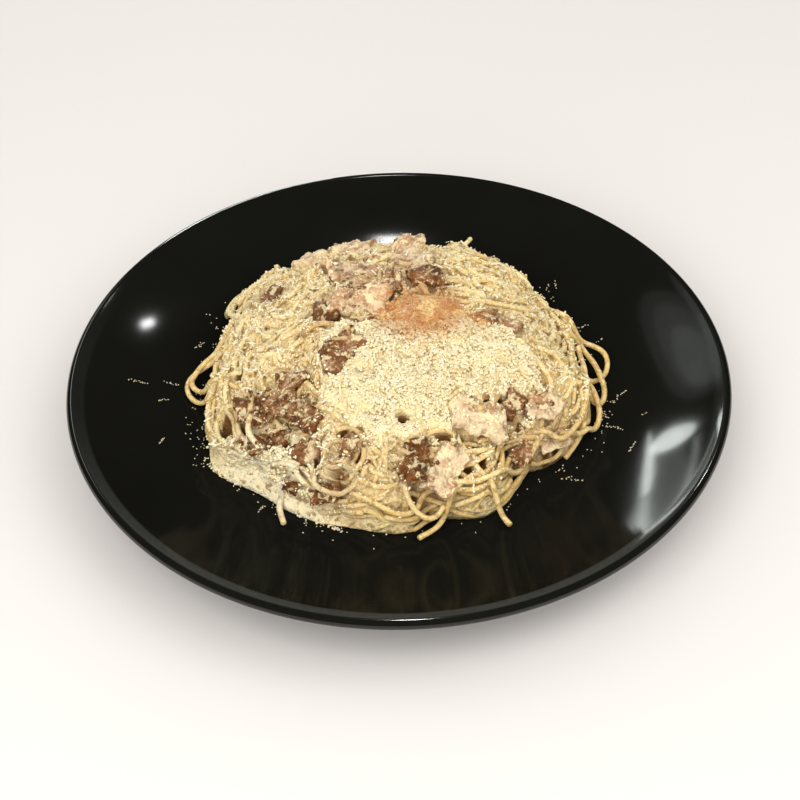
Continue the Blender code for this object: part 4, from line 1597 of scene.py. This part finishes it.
class CARBONARA_OT_yolk(bpy.types.Operator):
    """Set the egg yolk in its hollow, with a skirt that has run over the strands"""

    bl_idname = "carbonara.yolk"
    bl_label = "Yolk"

    def execute(self, context):
        low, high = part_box("egg_yolk")
        centre = np.array(((low.x + high.x) / 2, (low.y + high.y) / 2))
        radius = (high.x - low.x) / 2
        spokes, rings = 96, 30
        turns = np.arange(spokes) * math.tau / spokes
        ragged = 1.16
        for share, count, phase in ((0.16, 2, 1.2), (0.08, 3, 2.0), (0.05, 7, 0.0), (0.03, 11, 0.0)):
            ragged = ragged + share * np.sin(count * turns + phase)
        out = radius * ragged
        soft = smoothed(ground.z, 6)
        half = 0.0062
        middle = high.z - 0.0016 - half
        rows = []
        for ring in range(1, rings + 1):
            share = ring / rings
            points = centre + (out * share)[:, None] * np.column_stack([np.cos(turns), np.sin(turns)])
            away = np.linalg.norm(points - centre, axis=1) / radius
            dome = middle + half * np.sqrt(np.maximum(0.0, 1 - np.minimum(away, 1.0) ** 2))
            dome = dome - 0.0008 - 0.02 * np.maximum(away - 1, 0)
            film = ground.at(points, soft) + 0.0009 * (1 - share**6)
            top = np.logaddexp(dome * 1500, film * 1500) / 1500
            rows.append(np.column_stack([points, np.where(share < 1, top, film - 0.0006)]))
        points = centre + (out * 0.9)[:, None] * np.column_stack([np.cos(turns), np.sin(turns)])
        rows.append(np.column_stack([points, ground.at(points, soft) - 0.0030]))
        skin = turned_skin(rows, (*centre, high.z - 0.0024), (*centre, middle - 0.006))
        yolk = build_mesh("runny_yolk", *skin, yolk_finish())
        keep(yolk, "yolk", "egg_yolk")
        ground.raise_to(ground.cast(yolk, -1.0))
        return {"FINISHED"}


class CARBONARA_OT_bacon(bpy.types.Operator):
    """Give each piece of bacon its fibres, fat and browned edges"""

    bl_idname = "carbonara.bacon"
    bl_label = "Bacon"

    def execute(self, context):
        finish = bacon_finish()
        for number, look in enumerate(BACON_LOOKS):
            node = f"bacon_{number + 1:02d}"
            piece = make_bacon(node, look, number, finish)
            keep(piece, "bacon", node)
            above = ground.cast(piece, -1.0)
            ground.bacon_top = np.maximum(ground.bacon_top, above)
            bare = 0.72 + 0.27 * min(1.0, look[0] / 0.5)
            ground.bared = np.maximum(ground.bared, np.where(above > 0, bare, 0.0))
            ground.bacon_under = np.minimum(ground.bacon_under, ground.cast(piece, 1.0, below=True))
            middle = (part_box(node)[0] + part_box(node)[1]) / 2
            reach = 0.0065 + 0.004 * look[0]
            away = np.hypot(ground.x - middle.x, ground.y - middle.y) / reach
            drips = (0.35 + 0.65 * look[0]) * np.exp(-((away / 1.2) ** 3))
            ground.dripping = np.maximum(ground.dripping, drips)
        return {"FINISHED"}


class CARBONARA_OT_scraps(bpy.types.Operator):
    """Scatter the small scraps of bacon round the larger pieces"""

    bl_idname = "carbonara.scraps"
    bl_label = "Bacon scraps"

    def execute(self, context):
        random = np.random.default_rng(35)
        places, looks = [], []
        for x, y, spread, count, look in SCRAPS:
            for _ in range(count):
                way, far = random.uniform(0, math.tau), spread * math.sqrt(random.uniform(0, 1))
                length = random.uniform(SCRAP.shortest, SCRAP.longest)
                width = SCRAP.width * random.uniform(0.7, 1.2)
                size = (length, width, SCRAP.thickness * random.uniform(0.7, 1.2))
                heading = random.uniform(0, math.tau)
                spot = (x + far * math.cos(way), y + far * math.sin(way))
                places.append((*settle(*spot, SCRAP, heading, random.normal() * 0.3, 0.0), size))
                looks.append(look)
        piece = make_crumbs("bacon_scraps", random, places, bpy.data.materials["fried_bacon"])
        corners = np.repeat(np.array(looks), 12, 0) + random.normal(0, 0.12, (12 * len(looks), 1))
        attributes = dict(zip(("browning", "fattiness", "pinkness"), corners.T))
        attributes["cut"] = np.array([v.co for v in piece.data.vertices])
        add_attributes(piece.data, attributes)
        keep(piece, "bacon")
        return {"FINISHED"}


def remeshed(node, voxel):
    """Vertices, faces and neighbours of a node's solid with a fine even skin."""
    source = bpy.data.objects.new("skin", frame["nodes"][node].data.copy())
    bpy.context.scene.collection.objects.link(source)
    skin = source.modifiers.new("skin", "REMESH")
    skin.mode = "VOXEL"
    skin.voxel_size = voxel
    graph = bpy.context.evaluated_depsgraph_get()
    mesh = bpy.data.meshes.new_from_object(source.evaluated_get(graph), depsgraph=graph)
    verts = np.array([v.co for v in mesh.vertices])
    faces = [tuple(p.vertices) for p in mesh.polygons]
    quads = np.array([face for face in faces if len(face) == 4])
    triangles = np.array([face for face in faces if len(face) == 3]).reshape(-1, 3)
    edges = np.array([tuple(e.vertices) for e in mesh.edges])
    bpy.data.meshes.remove(mesh)
    old = source.data
    bpy.data.objects.remove(source)
    bpy.data.meshes.remove(old)
    return verts, quads, triangles.astype(int), edges


def relaxed(verts, edges, share, rounds):
    """Vertices drawn some of the way to the mean of their neighbours."""
    for _ in range(rounds):
        total, count = np.zeros_like(verts), np.zeros(len(verts))
        for a, b in ((0, 1), (1, 0)):
            np.add.at(total, edges[:, a], verts[edges[:, b]])
            np.add.at(count, edges[:, a], 1)
        verts = verts + share * (total / count[:, None] - verts)
    return verts


def normals_of(verts, quads):
    normal = np.zeros_like(verts)
    face = np.cross(verts[quads[:, 2]] - verts[quads[:, 0]], verts[quads[:, 3]] - verts[quads[:, 1]])
    for corner in range(4):
        np.add.at(normal, quads[:, corner], face)
    return normal / np.maximum(1e-12, np.linalg.norm(normal, axis=1))[:, None]


def noise_at(points, scale, shift=0.0):
    return np.array([noise.noise(Vector(p) * scale + Vector((shift, 0, 0))) for p in points])


def make_bacon(node, look, number, finish):
    """A piece of fried bacon on its solid: thinner, wavy and ragged, with streaks of fat."""
    browning, fat, pink = look
    verts, quads, triangles, edges = remeshed(node, sizes().bacon_voxel)
    verts = relaxed(verts, edges, 0.5, 3)
    middle = verts.mean(0)
    _, _, axes = np.linalg.svd(verts - middle, full_matrices=False)
    if axes[2, 2] < 0:
        axes[2] = -axes[2]
    cut = (verts - middle) @ axes.T
    half = np.abs(cut).max(0)
    shift = 7.3 * number
    long_share, wide_share = cut[:, 0] / half[0], cut[:, 1] / half[1]
    flat = cut * (1.0, 1.0, 0.0)
    ragged = 0.0022 * noise_at(flat, 170, shift + 5) + 0.0012 * noise_at(flat, 420, shift)
    ragged = ragged + 0.0005 * noise_at(flat, 900, shift)
    wave = 0.00055 * np.sin(cut[:, 0] * 620 + shift) * (0.4 + np.abs(wide_share))
    wave += 0.00040 * np.sin(cut[:, 1] * 760 + 2 * shift) * (0.4 + np.abs(long_share))
    curl = 0.0010 * (long_share * wide_share) * math.sin(shift) + 0.0006 * long_share**2 - 0.0002
    moved = cut.copy()
    moved[:, 0] += ragged * long_share
    moved[:, 1] += ragged * 1.2 * wide_share
    moved[:, 2] = cut[:, 2] * 0.84 + wave + curl
    verts = middle + moved @ axes
    shift_by, growth, hang = BACON_SLUMP.get(node, ((0.0, 0.0, 0.0), BACON_GROWTH, (0.0, 0.0, 0.0)))
    verts = middle + (verts - middle) * (growth, growth, 1.0)
    near = np.clip((middle[1] - verts[:, 1]) / (middle[1] - verts[:, 1].min()), 0, 1)
    verts = verts + np.array(shift_by) + np.outer(near**1.3, hang)
    normal = normals_of(verts, quads)
    lumps = 0.00035 * noise_at(verts, 300, shift) + 0.00022 * noise_at(verts, 700, shift)
    fibres = 0.00020 * noise_at(cut * (0.2, 1.0, 0.6), 1100, shift)
    verts = relaxed(verts + normal * (lumps + fibres)[:, None], edges, 0.25, 1)
    edge = np.clip(np.maximum(np.abs(long_share), np.abs(wide_share)), 0, 1) ** 5
    band = noise_at(cut * (0.35, 1.0, 0.5), 230, shift + 3)
    attributes = {
        "cut": cut,
        "browning": np.clip(browning + 0.24 * edge + 0.50 * noise_at(cut, 240, shift + 9), 0, 1.2),
        "fattiness": np.clip(fat + 0.9 * band, 0, 1),
        "pinkness": np.full(len(verts), pink),
    }
    return build_mesh("diced_" + node, verts, quads, triangles, finish, attributes)


class CARBONARA_OT_cheese(bpy.types.Operator):
    """Scatter the grated cheese, thick over the middle and thin elsewhere"""

    bl_idname = "carbonara.cheese"
    bl_label = "Grated cheese"

    def execute(self, context):
        finish = cheese_finish()
        blanket = ground.cast(frame["nodes"]["grated_cheese"], -1.0) > 0
        cover = smoothed(blanket.astype(float), 60)
        patches = np.zeros_like(cover)
        for i, j in np.argwhere((cover > 0.02) & (cover < 0.98)):
            patches[i, j] = lump(ground.x[i, j], ground.y[i, j], 130, 8.0)
        cover = np.clip((cover + 0.55 * patches - 0.12) / 0.76, 0, 1)
        cover = np.maximum(cover, 0.62 * lower_left_drift(ground.x, ground.y))
        bed = make_cheese_bed(cover, finish)
        keep(bed, "cheese", "grated_cheese")
        thick = cover * cheese_left_on()
        random = np.random.default_rng(77)
        for name, count, kind in (
            ("cheese_crumbs", sizes().crumb_count, CRUMB),
            ("cheese_fines", sizes().dust_count, FINES),
        ):
            places = scattered(random, count, thick, kind)
            half = len(places) // 2
            for part, chosen in (("under", places[:half]), ("over", places[half:])):
                keep(make_crumbs(name + "_" + part, random, chosen, finish), "cheese")
        places = scattered(random, sizes().shred_count, thick, SHRED)
        keep(make_shreds(random, places, finish), "cheese")
        keep(make_crumbs("cheese_dust", random, plate_dust(random), finish), "cheese")
        return {"FINISHED"}


def plate_dust(random):
    """Grains beside the heap: short rows of them, and loose ones that thin out away from the heap."""
    spots = []
    for x, y, length, heading in PLATE_SHREDS:
        way = math.radians(heading)
        for step in np.linspace(-0.5, 0.5, max(3, round(length / 0.0006))):
            far = step * length + random.normal() * 0.0003
            side = random.normal() * 0.0003
            ahead, aside = (math.cos(way), math.sin(way)), (-math.sin(way), math.cos(way))
            spots.append((x + far * ahead[0] + side * aside[0], y + far * ahead[1] + side * aside[1]))
    while len(spots) < sizes().plate_grains:
        way = random.uniform(0, math.tau)
        share = 1.0 + abs(random.normal()) * 0.055
        behind = math.exp(-(((way - math.radians(92)) / 0.16) ** 2))
        sides = abs(math.cos(way)) ** 2
        share += 0.11 * behind
        if random.uniform() < 0.06 + 0.94 * behind + 0.40 * sides:
            reach = float(heap_reach(np.array(way))) * share
            spot = (HEAP_CENTRE[0] + reach * math.cos(way), HEAP_CENTRE[1] + reach * math.sin(way))
            spots.append(spot)
    places = []
    for x, y in spots:
        size = (random.uniform(0.0004, 0.0009), 0.0005, 0.0003)
        places.append((*settle(x, y, FINES, random.uniform(0, math.tau), 0.0, 0.0), size))
    return places


def cheese_left_on():
    """The share of the cheese that stays on what it falls on: little on bacon and yolk."""
    share = 1 - smoothed(ground.bared, 4)
    brown = np.exp(-((((ground.x + 0.046) / 0.017) ** 2 + ((ground.y + 0.029) / 0.014) ** 2) ** 1.5))
    share *= 1 - 0.62 * brown
    share *= 1 - np.clip(1.3 * hole_depths() / 0.0022, 0, 1)
    fried = np.clip((smoothed((ground.bacon_top > 0).astype(float), 60) - 0.35) / 0.4, 0, 1)
    share *= 1 - 0.55 * fried
    on = smoothed((ground.cast(frame["nodes"]["egg_yolk"], -1.0) > 0).astype(float), 3)
    return share * (1 - 0.35 * on * np.clip((ground.y + 0.001) / 0.006, 0, 1))


def make_cheese_bed(cover, finish):
    """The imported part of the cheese: a grainy relief that fills the gaps between the strands."""
    base = smoothed(ground.z, 5)
    thickness = 0.0030 * np.clip(cover * 1.15, 0, 1) - 0.0013
    inside = (cover > 0.16) & (cheese_left_on() > 0.42)
    index = np.full(base.shape, -1)
    cells = np.argwhere(inside)
    index[inside] = np.arange(len(cells))
    points = np.column_stack([ground.x[inside], ground.y[inside]])
    grain = np.array([noise.voronoi(Vector((x * 900, y * 900, 0.0)))[0][0] for x, y in points])
    lumps = np.array([lump(x, y, 230, 5.0) for x, y in points])
    top = base[inside] + thickness[inside] + 0.00042 * (0.6 - grain) + 0.0006 * lumps
    bottom = np.minimum(top - 0.0006, base[inside] - 0.0035)
    verts = np.concatenate([np.column_stack([points, top]), np.column_stack([points, bottom])])
    i, j = cells.T
    corners = np.stack([index[i, j], index[i + 1, j], index[i + 1, j + 1], index[i, j + 1]], -1)
    quads = corners[(corners >= 0).all(1)]
    edges = np.concatenate([quads[:, [k, (k + 1) % 4]] for k in range(4)])
    key = np.sort(edges, 1)
    _, first, count = np.unique(key, axis=0, return_index=True, return_counts=True)
    rim = edges[first[count == 1]]
    under = len(points)
    walls = np.column_stack([rim[:, 1], rim[:, 0], rim[:, 0] + under, rim[:, 1] + under])
    used = np.unique(quads)
    renumber = np.full(len(verts), -1)
    kept = np.concatenate([used, used + under])
    renumber[kept] = np.arange(len(kept))
    faces = renumber[np.concatenate([quads, quads[:, ::-1] + under, walls])]
    heights = np.full_like(ground.z, -1.0)
    heights[inside] = top
    ground.raise_to(heights)
    none = np.empty((0, 3), int)
    tone = {"tone": np.full(len(kept), 0.45)}
    return build_mesh("cheese_bed", verts[kept], faces, none, finish, tone)


GOLDEN = (1 + math.sqrt(5)) / 2


def ball_of_twenty():
    """Corners and faces of a ball with twenty triangles."""
    corners = []
    for a, b in ((1.0, GOLDEN), (1.0, -GOLDEN), (-1.0, GOLDEN), (-1.0, -GOLDEN)):
        corners += [(0.0, a, b), (a, b, 0.0), (b, 0.0, a)]
    corners = np.array(corners)
    faces = []
    for i in range(12):
        for j in range(i + 1, 12):
            for k in range(j + 1, 12):
                sides = [np.linalg.norm(corners[a] - corners[b]) for a, b in ((i, j), (j, k), (k, i))]
                if max(sides) < 2.1:
                    normal = np.cross(corners[j] - corners[i], corners[k] - corners[i])
                    faces.append((i, j, k) if np.dot(normal, corners[i]) > 0 else (i, k, j))
    return corners / np.linalg.norm(corners[0]), np.array(faces)


def make_crumbs(name, random, places, finish):
    """Irregular crumbs at their places, as one piece."""
    corners, faces = ball_of_twenty()
    centres = np.array([place[0] for place in places])
    turns = np.array([place[1] for place in places])
    halves = np.array([place[2] for place in places]) / 2
    lumps = 1 + 0.13 * random.normal(size=(len(places), 12, 1)).clip(-1.6, 1.6)
    local = corners[None] * lumps * halves[:, None]
    verts = np.einsum("nij,nkj->nki", turns, local) + centres[:, None]
    triangles = faces[None] + 12 * np.arange(len(places))[:, None, None]
    tones = np.repeat(random.uniform(0, 1, len(places)), 12)
    none = np.empty((0, 4), int)
    verts, triangles = verts.reshape(-1, 3), triangles.reshape(-1, 3)
    return build_mesh(name, verts, none, triangles, finish, {"tone": tones})


def make_shreds(random, places, finish):
    """Thin bent shreds at their places, as one piece."""
    parts, tones = [], []
    for centre, turned, (length, width, thickness) in places:
        along = np.linspace(-0.5, 0.5, 6)
        turn = random.uniform(-SHRED_BEND, SHRED_BEND) * length
        turn = math.copysign(max(abs(turn), 0.05), turn)
        bow, bent = length / turn, turn * along
        line = np.column_stack([bow * np.sin(bent), bow * (1 - np.cos(bent)), np.zeros(6)])
        swell = 1 + 0.16 * random.normal(size=6).clip(-1.5, 1.5)
        verts, quads, caps = tube(line, width / 2, 6, swell)
        verts[:, 2] *= thickness / width
        parts.append((verts @ turned.T + centre, quads, caps))
        tones.append(np.full(len(verts), random.uniform(0.2, 1)))
    return build_mesh("cheese_shreds", *joined(parts), finish, {"tone": np.concatenate(tones)})


def cream_drift(x, y):
    """Where sauce and fine cheese have made the foot of the heap whitish: its lower left."""
    along = (x + 0.050) * 0.83 - (y + 0.049) * 0.56
    across = (x + 0.050) * 0.56 + (y + 0.049) * 0.83
    return np.exp(-(((along / 0.027) ** 2 + (across / 0.0125) ** 2) ** 1.5))


def lower_left_drift(x, y):
    """A second, thinner drift of cheese at the lower left."""
    drift = np.exp(-((((x + 0.053) / 0.020) ** 2 + ((y + 0.047) / 0.0115) ** 2) ** 1.5))
    return drift * (share_of_outline(x, y) < 0.93)


def cheese_density(x, y, thick, left_on, kind):
    """How much cheese lies at a point, from 0 to 1."""
    dx, dy = x - HEAP_CENTRE[0], y - HEAP_CENTRE[1]
    share = math.hypot(dx, dy) / float(heap_reach(np.array(math.atan2(dy, dx))))
    if share > 0.985 + 0.045 * (cream_drift(x, y) > 0.15):
        return 0.0
    lower_left = math.exp(-(((x + 0.050) / 0.026) ** 2 + ((y + 0.051) / 0.014) ** 2))
    patchy = 0.75 + 0.9 * lump(x, y, 95, 3.0)
    if kind is CRUMB:
        return max(thick, 0.55 * lower_left * left_on, 0.05 * patchy * left_on)
    left = 0.5 / (1 + math.exp((x + 0.022) / 0.008))
    foot = 1 - 0.35 * max(0.0, min(1.0, (share - 0.78) / 0.14)) * (1 - lower_left)
    return max(thick * 0.6, (0.26 + left * 0.5 + 0.6 * lower_left) * patchy * foot * left_on)


def settle(x, y, kind, heading, pitch, roll):
    """Centre and turn of a crumb that comes to rest at a point."""
    steps, _ = disc(kind.width * 0.5)
    point = np.array([[x, y]])
    ci, cj = ground.cells(point)[0]
    cell = (ci + steps[:, 0], cj + steps[:, 1])
    under = ground.z[cell]
    height = 0.3 * under.max() + 0.7 * under.mean() + kind.thickness * 0.16
    slope_x = (ground.z[ci + 2, cj] - ground.z[ci - 2, cj]) / (4 * GRID_STEP)
    slope_y = (ground.z[ci, cj + 2] - ground.z[ci, cj - 2]) / (4 * GRID_STEP)
    tilt = Vector((0, 0, 1)).rotation_difference(Vector((-slope_x, -slope_y, 1.6))).to_matrix()
    turned = tilt
    for angle, axis in ((heading, "Z"), (pitch, "Y"), (roll, "X")):
        turned = turned @ Matrix.Rotation(angle, 3, axis)
    ground.z[cell] = np.maximum(under, height + kind.thickness * 0.12)
    return (x, y, height), np.array(turned)


def scattered(random, count, thick, kind):
    """Places of crumbs, each turned to the slope and resting on those before it."""
    places = []
    left_on = cheese_left_on()
    while len(places) < count:
        x, y = random.uniform(-SCATTER_HALF, SCATTER_HALF, 2)
        point = np.array([[x, y]])
        density = cheese_density(x, y, ground.at(point, thick)[0], ground.at(point, left_on)[0], kind)
        if random.uniform() > density:
            continue
        length = random.uniform(kind.shortest, kind.longest)
        width = kind.width * random.uniform(0.75, 1.1)
        size = (length, width, kind.thickness * random.uniform(0.8, 1.1))
        heading = random.uniform(0, math.tau)
        pitch, roll = random.normal() * 0.25, random.normal() * 0.4
        places.append((*settle(x, y, kind, heading, pitch, roll), size))
    return places


class CARBONARA_OT_stage(bpy.types.Operator):
    """Set up the pale floor, the soft studio light and the camera"""

    bl_idname = "carbonara.stage"
    bl_label = "Studio stage"

    def execute(self, context):
        scene = context.scene
        mesh = bpy.data.meshes.new("studio_floor")
        side = 4.0
        corners = [(-side, -side, 0), (side, -side, 0), (side, side, 0), (-side, side, 0)]
        mesh.from_pydata(corners, [], [(0, 1, 2, 3)])
        mesh.materials.append(floor_finish())
        floor = bpy.data.objects.new("studio_floor", mesh)
        scene.collection.objects.link(floor)
        world = bpy.data.worlds.new("studio")
        world.use_nodes = True
        world.node_tree.nodes["Background"].inputs["Color"].default_value = (1.0, 0.985, 0.965, 1.0)
        world.node_tree.nodes["Background"].inputs["Strength"].default_value = 0.86
        scene.world = world
        world.cycles_visibility.glossy = False
        scene.view_settings.view_transform = "Standard"
        for name, place, aim, size, power, gloss, diffuse in LIGHTS:
            light = bpy.data.lights.new(name, "AREA")
            light.shape = "RECTANGLE"
            light.size, light.size_y = size
            light.energy = power
            obj = bpy.data.objects.new(name, light)
            obj.location = place
            obj.rotation_euler = (Vector(aim) - Vector(place)).to_track_quat("-Z", "Y").to_euler()
            obj.visible_glossy = gloss
            obj.visible_diffuse = diffuse
            scene.collection.objects.link(obj)
        for strip in STRIPS:
            make_strip(scene, *strip)
        make_camera(scene)
        return {"FINISHED"}


# (name, place, point it faces, size, power in watts, seen in gloss, lights matt surfaces)
LIGHTS = (
    ("key", (-0.35, -0.75, 0.95), (0, 0, 0.02), (0.9, 0.9), 9.6, False, True),
    ("low_front", (-0.25, -1.00, 0.24), (0, 0, 0.02), (0.9, 0.4), 3.8, False, True),
    ("fill", (0.60, -0.30, 0.90), (0, 0, 0.02), (0.9, 0.9), 5.0, False, True),
    ("sparkle_left", (0.405, 0.609, 0.812), (-0.106, 0.041, 0.02), (0.026, 0.038), 0.9, True, False),
    ("sparkle_back", (0.012, 0.327, 1.091), (-0.004, 0.099, 0.015), (0.055, 0.075), 3.2, True, False),
)
# Long lights seen only in the glaze: (name, one end, other end, width, power in watts, rounded)
STRIPS = (
    ("window_head", (-0.255, 0.95, 0.535), (-0.310, 0.95, 0.430), 0.080, 2.00, True),
    ("window_pane", (-0.292, 0.95, 0.560), (-0.120, 0.95, 0.075), 0.070, 0.80, False),
    ("window_bar", (-0.262, 0.95, 0.600), (-0.170, 0.95, 0.290), 0.020, 1.30, True),
    ("window_bar_foot", (-0.176, 0.95, 0.310), (-0.090, 0.95, 0.020), 0.012, 0.45, False),
    ("window_edge", (-0.300, 0.95, 0.400), (-0.096, 0.95, 0.020), 0.010, 0.30, False),
    ("haze_wide", (-0.840, 0.90, 1.420), (-0.400, 0.90, 0.520), 0.260, 1.40, True),
    ("haze_middle", (-0.760, 0.90, 1.240), (-0.420, 0.90, 0.550), 0.170, 0.70, True),
    ("haze_bright", (-0.640, 0.90, 0.990), (-0.430, 0.90, 0.570), 0.110, 0.40, True),
)
STRIP_TINT = (0.94, 1.0, 0.95)
STRIP_AIM = Vector((0.110, -0.010, 0.022))


def placed(right, up, back, place):
    """The matrix of an object whose axes point along three directions."""
    return Matrix([(right[k], up[k], back[k], place[k]) for k in range(3)] + [(0, 0, 0, 1)])


def make_strip(scene, name, top, foot, width, power, rounded):
    """A long light from end to end that shows in the glaze and doesn't light matt surfaces."""
    top, foot = Vector(top), Vector(foot)
    light = bpy.data.lights.new(name, "AREA")
    light.shape = "ELLIPSE" if rounded else "RECTANGLE"
    light.size, light.size_y = (top - foot).length, width
    light.energy = power
    light.color = STRIP_TINT
    strip = bpy.data.objects.new(name, light)
    along = (top - foot).normalized()
    middle = (top + foot) / 2
    back = (middle - STRIP_AIM).normalized()
    back = (back - along * back.dot(along)).normalized()
    up = back.cross(along)
    strip.matrix_world = placed(along, up, back, middle)
    strip.visible_diffuse = False
    scene.collection.objects.link(strip)


CAMERA_DISTANCE = 0.72
CAMERA_ELEVATION = math.radians(43.386)
CAMERA_ROLL = math.radians(-1.0787)
CAMERA_TARGET = Vector((0.000387, -0.015747, 0.0265))
CAMERA_LENS = 83.556


def make_camera(scene):
    data = bpy.data.cameras.new("camera")
    data.lens, data.sensor_width = CAMERA_LENS, 36.0
    data.clip_start, data.clip_end = 0.01, 20.0
    camera = bpy.data.objects.new("camera", data)
    back = Vector((0.0, -math.cos(CAMERA_ELEVATION), math.sin(CAMERA_ELEVATION)))
    right = Vector((1.0, 0.0, 0.0))
    up = back.cross(right)
    turned_right = right * math.cos(CAMERA_ROLL) + up * math.sin(CAMERA_ROLL)
    turned_up = up * math.cos(CAMERA_ROLL) - right * math.sin(CAMERA_ROLL)
    place = CAMERA_TARGET + back * CAMERA_DISTANCE
    camera.matrix_world = placed(turned_right, turned_up, back, place)
    scene.collection.objects.link(camera)
    scene.camera = camera


OPERATORS = (
    CARBONARA_OT_plate,
    CARBONARA_OT_bacon,
    CARBONARA_OT_spaghetti,
    CARBONARA_OT_yolk,
    CARBONARA_OT_crossings,
    CARBONARA_OT_scraps,
    CARBONARA_OT_cheese,
    CARBONARA_OT_stage,
)


class CARBONARA_PT_panel(bpy.types.Panel):
    """Sizes, colours and pieces of the dish"""

    bl_idname = "CARBONARA_PT_panel"
    bl_label = "Carbonara"
    bl_space_type = "VIEW_3D"
    bl_region_type = "UI"
    bl_category = "Carbonara"

    def draw(self, context):
        for group in (context.scene.carbonara_sizes, context.scene.carbonara_colours):
            for name in group.bl_rna.properties.keys():
                if name not in ("rna_type", "name"):
                    self.layout.prop(group, name)
        for operator in OPERATORS:
            self.layout.operator(operator.bl_idname)


CLASSES = (CarbonaraSizes, CarbonaraColours, *OPERATORS, CARBONARA_PT_panel)


def register():
    for made in CLASSES:
        bpy.utils.register_class(made)
    bpy.types.Scene.carbonara_sizes = PointerProperty(type=CarbonaraSizes)
    bpy.types.Scene.carbonara_colours = PointerProperty(type=CarbonaraColours)


def unregister():
    del bpy.types.Scene.carbonara_sizes
    del bpy.types.Scene.carbonara_colours
    for made in reversed(CLASSES):
        bpy.utils.unregister_class(made)


def main():
    register()
    bpy.ops.carbonara.plate()
    bpy.ops.carbonara.bacon()
    bpy.ops.carbonara.spaghetti()
    bpy.ops.carbonara.yolk()
    bpy.ops.carbonara.crossings()
    bpy.ops.carbonara.scraps()
    bpy.ops.carbonara.cheese()
    bpy.ops.carbonara.stage()


if __name__ == "__main__":
    main()
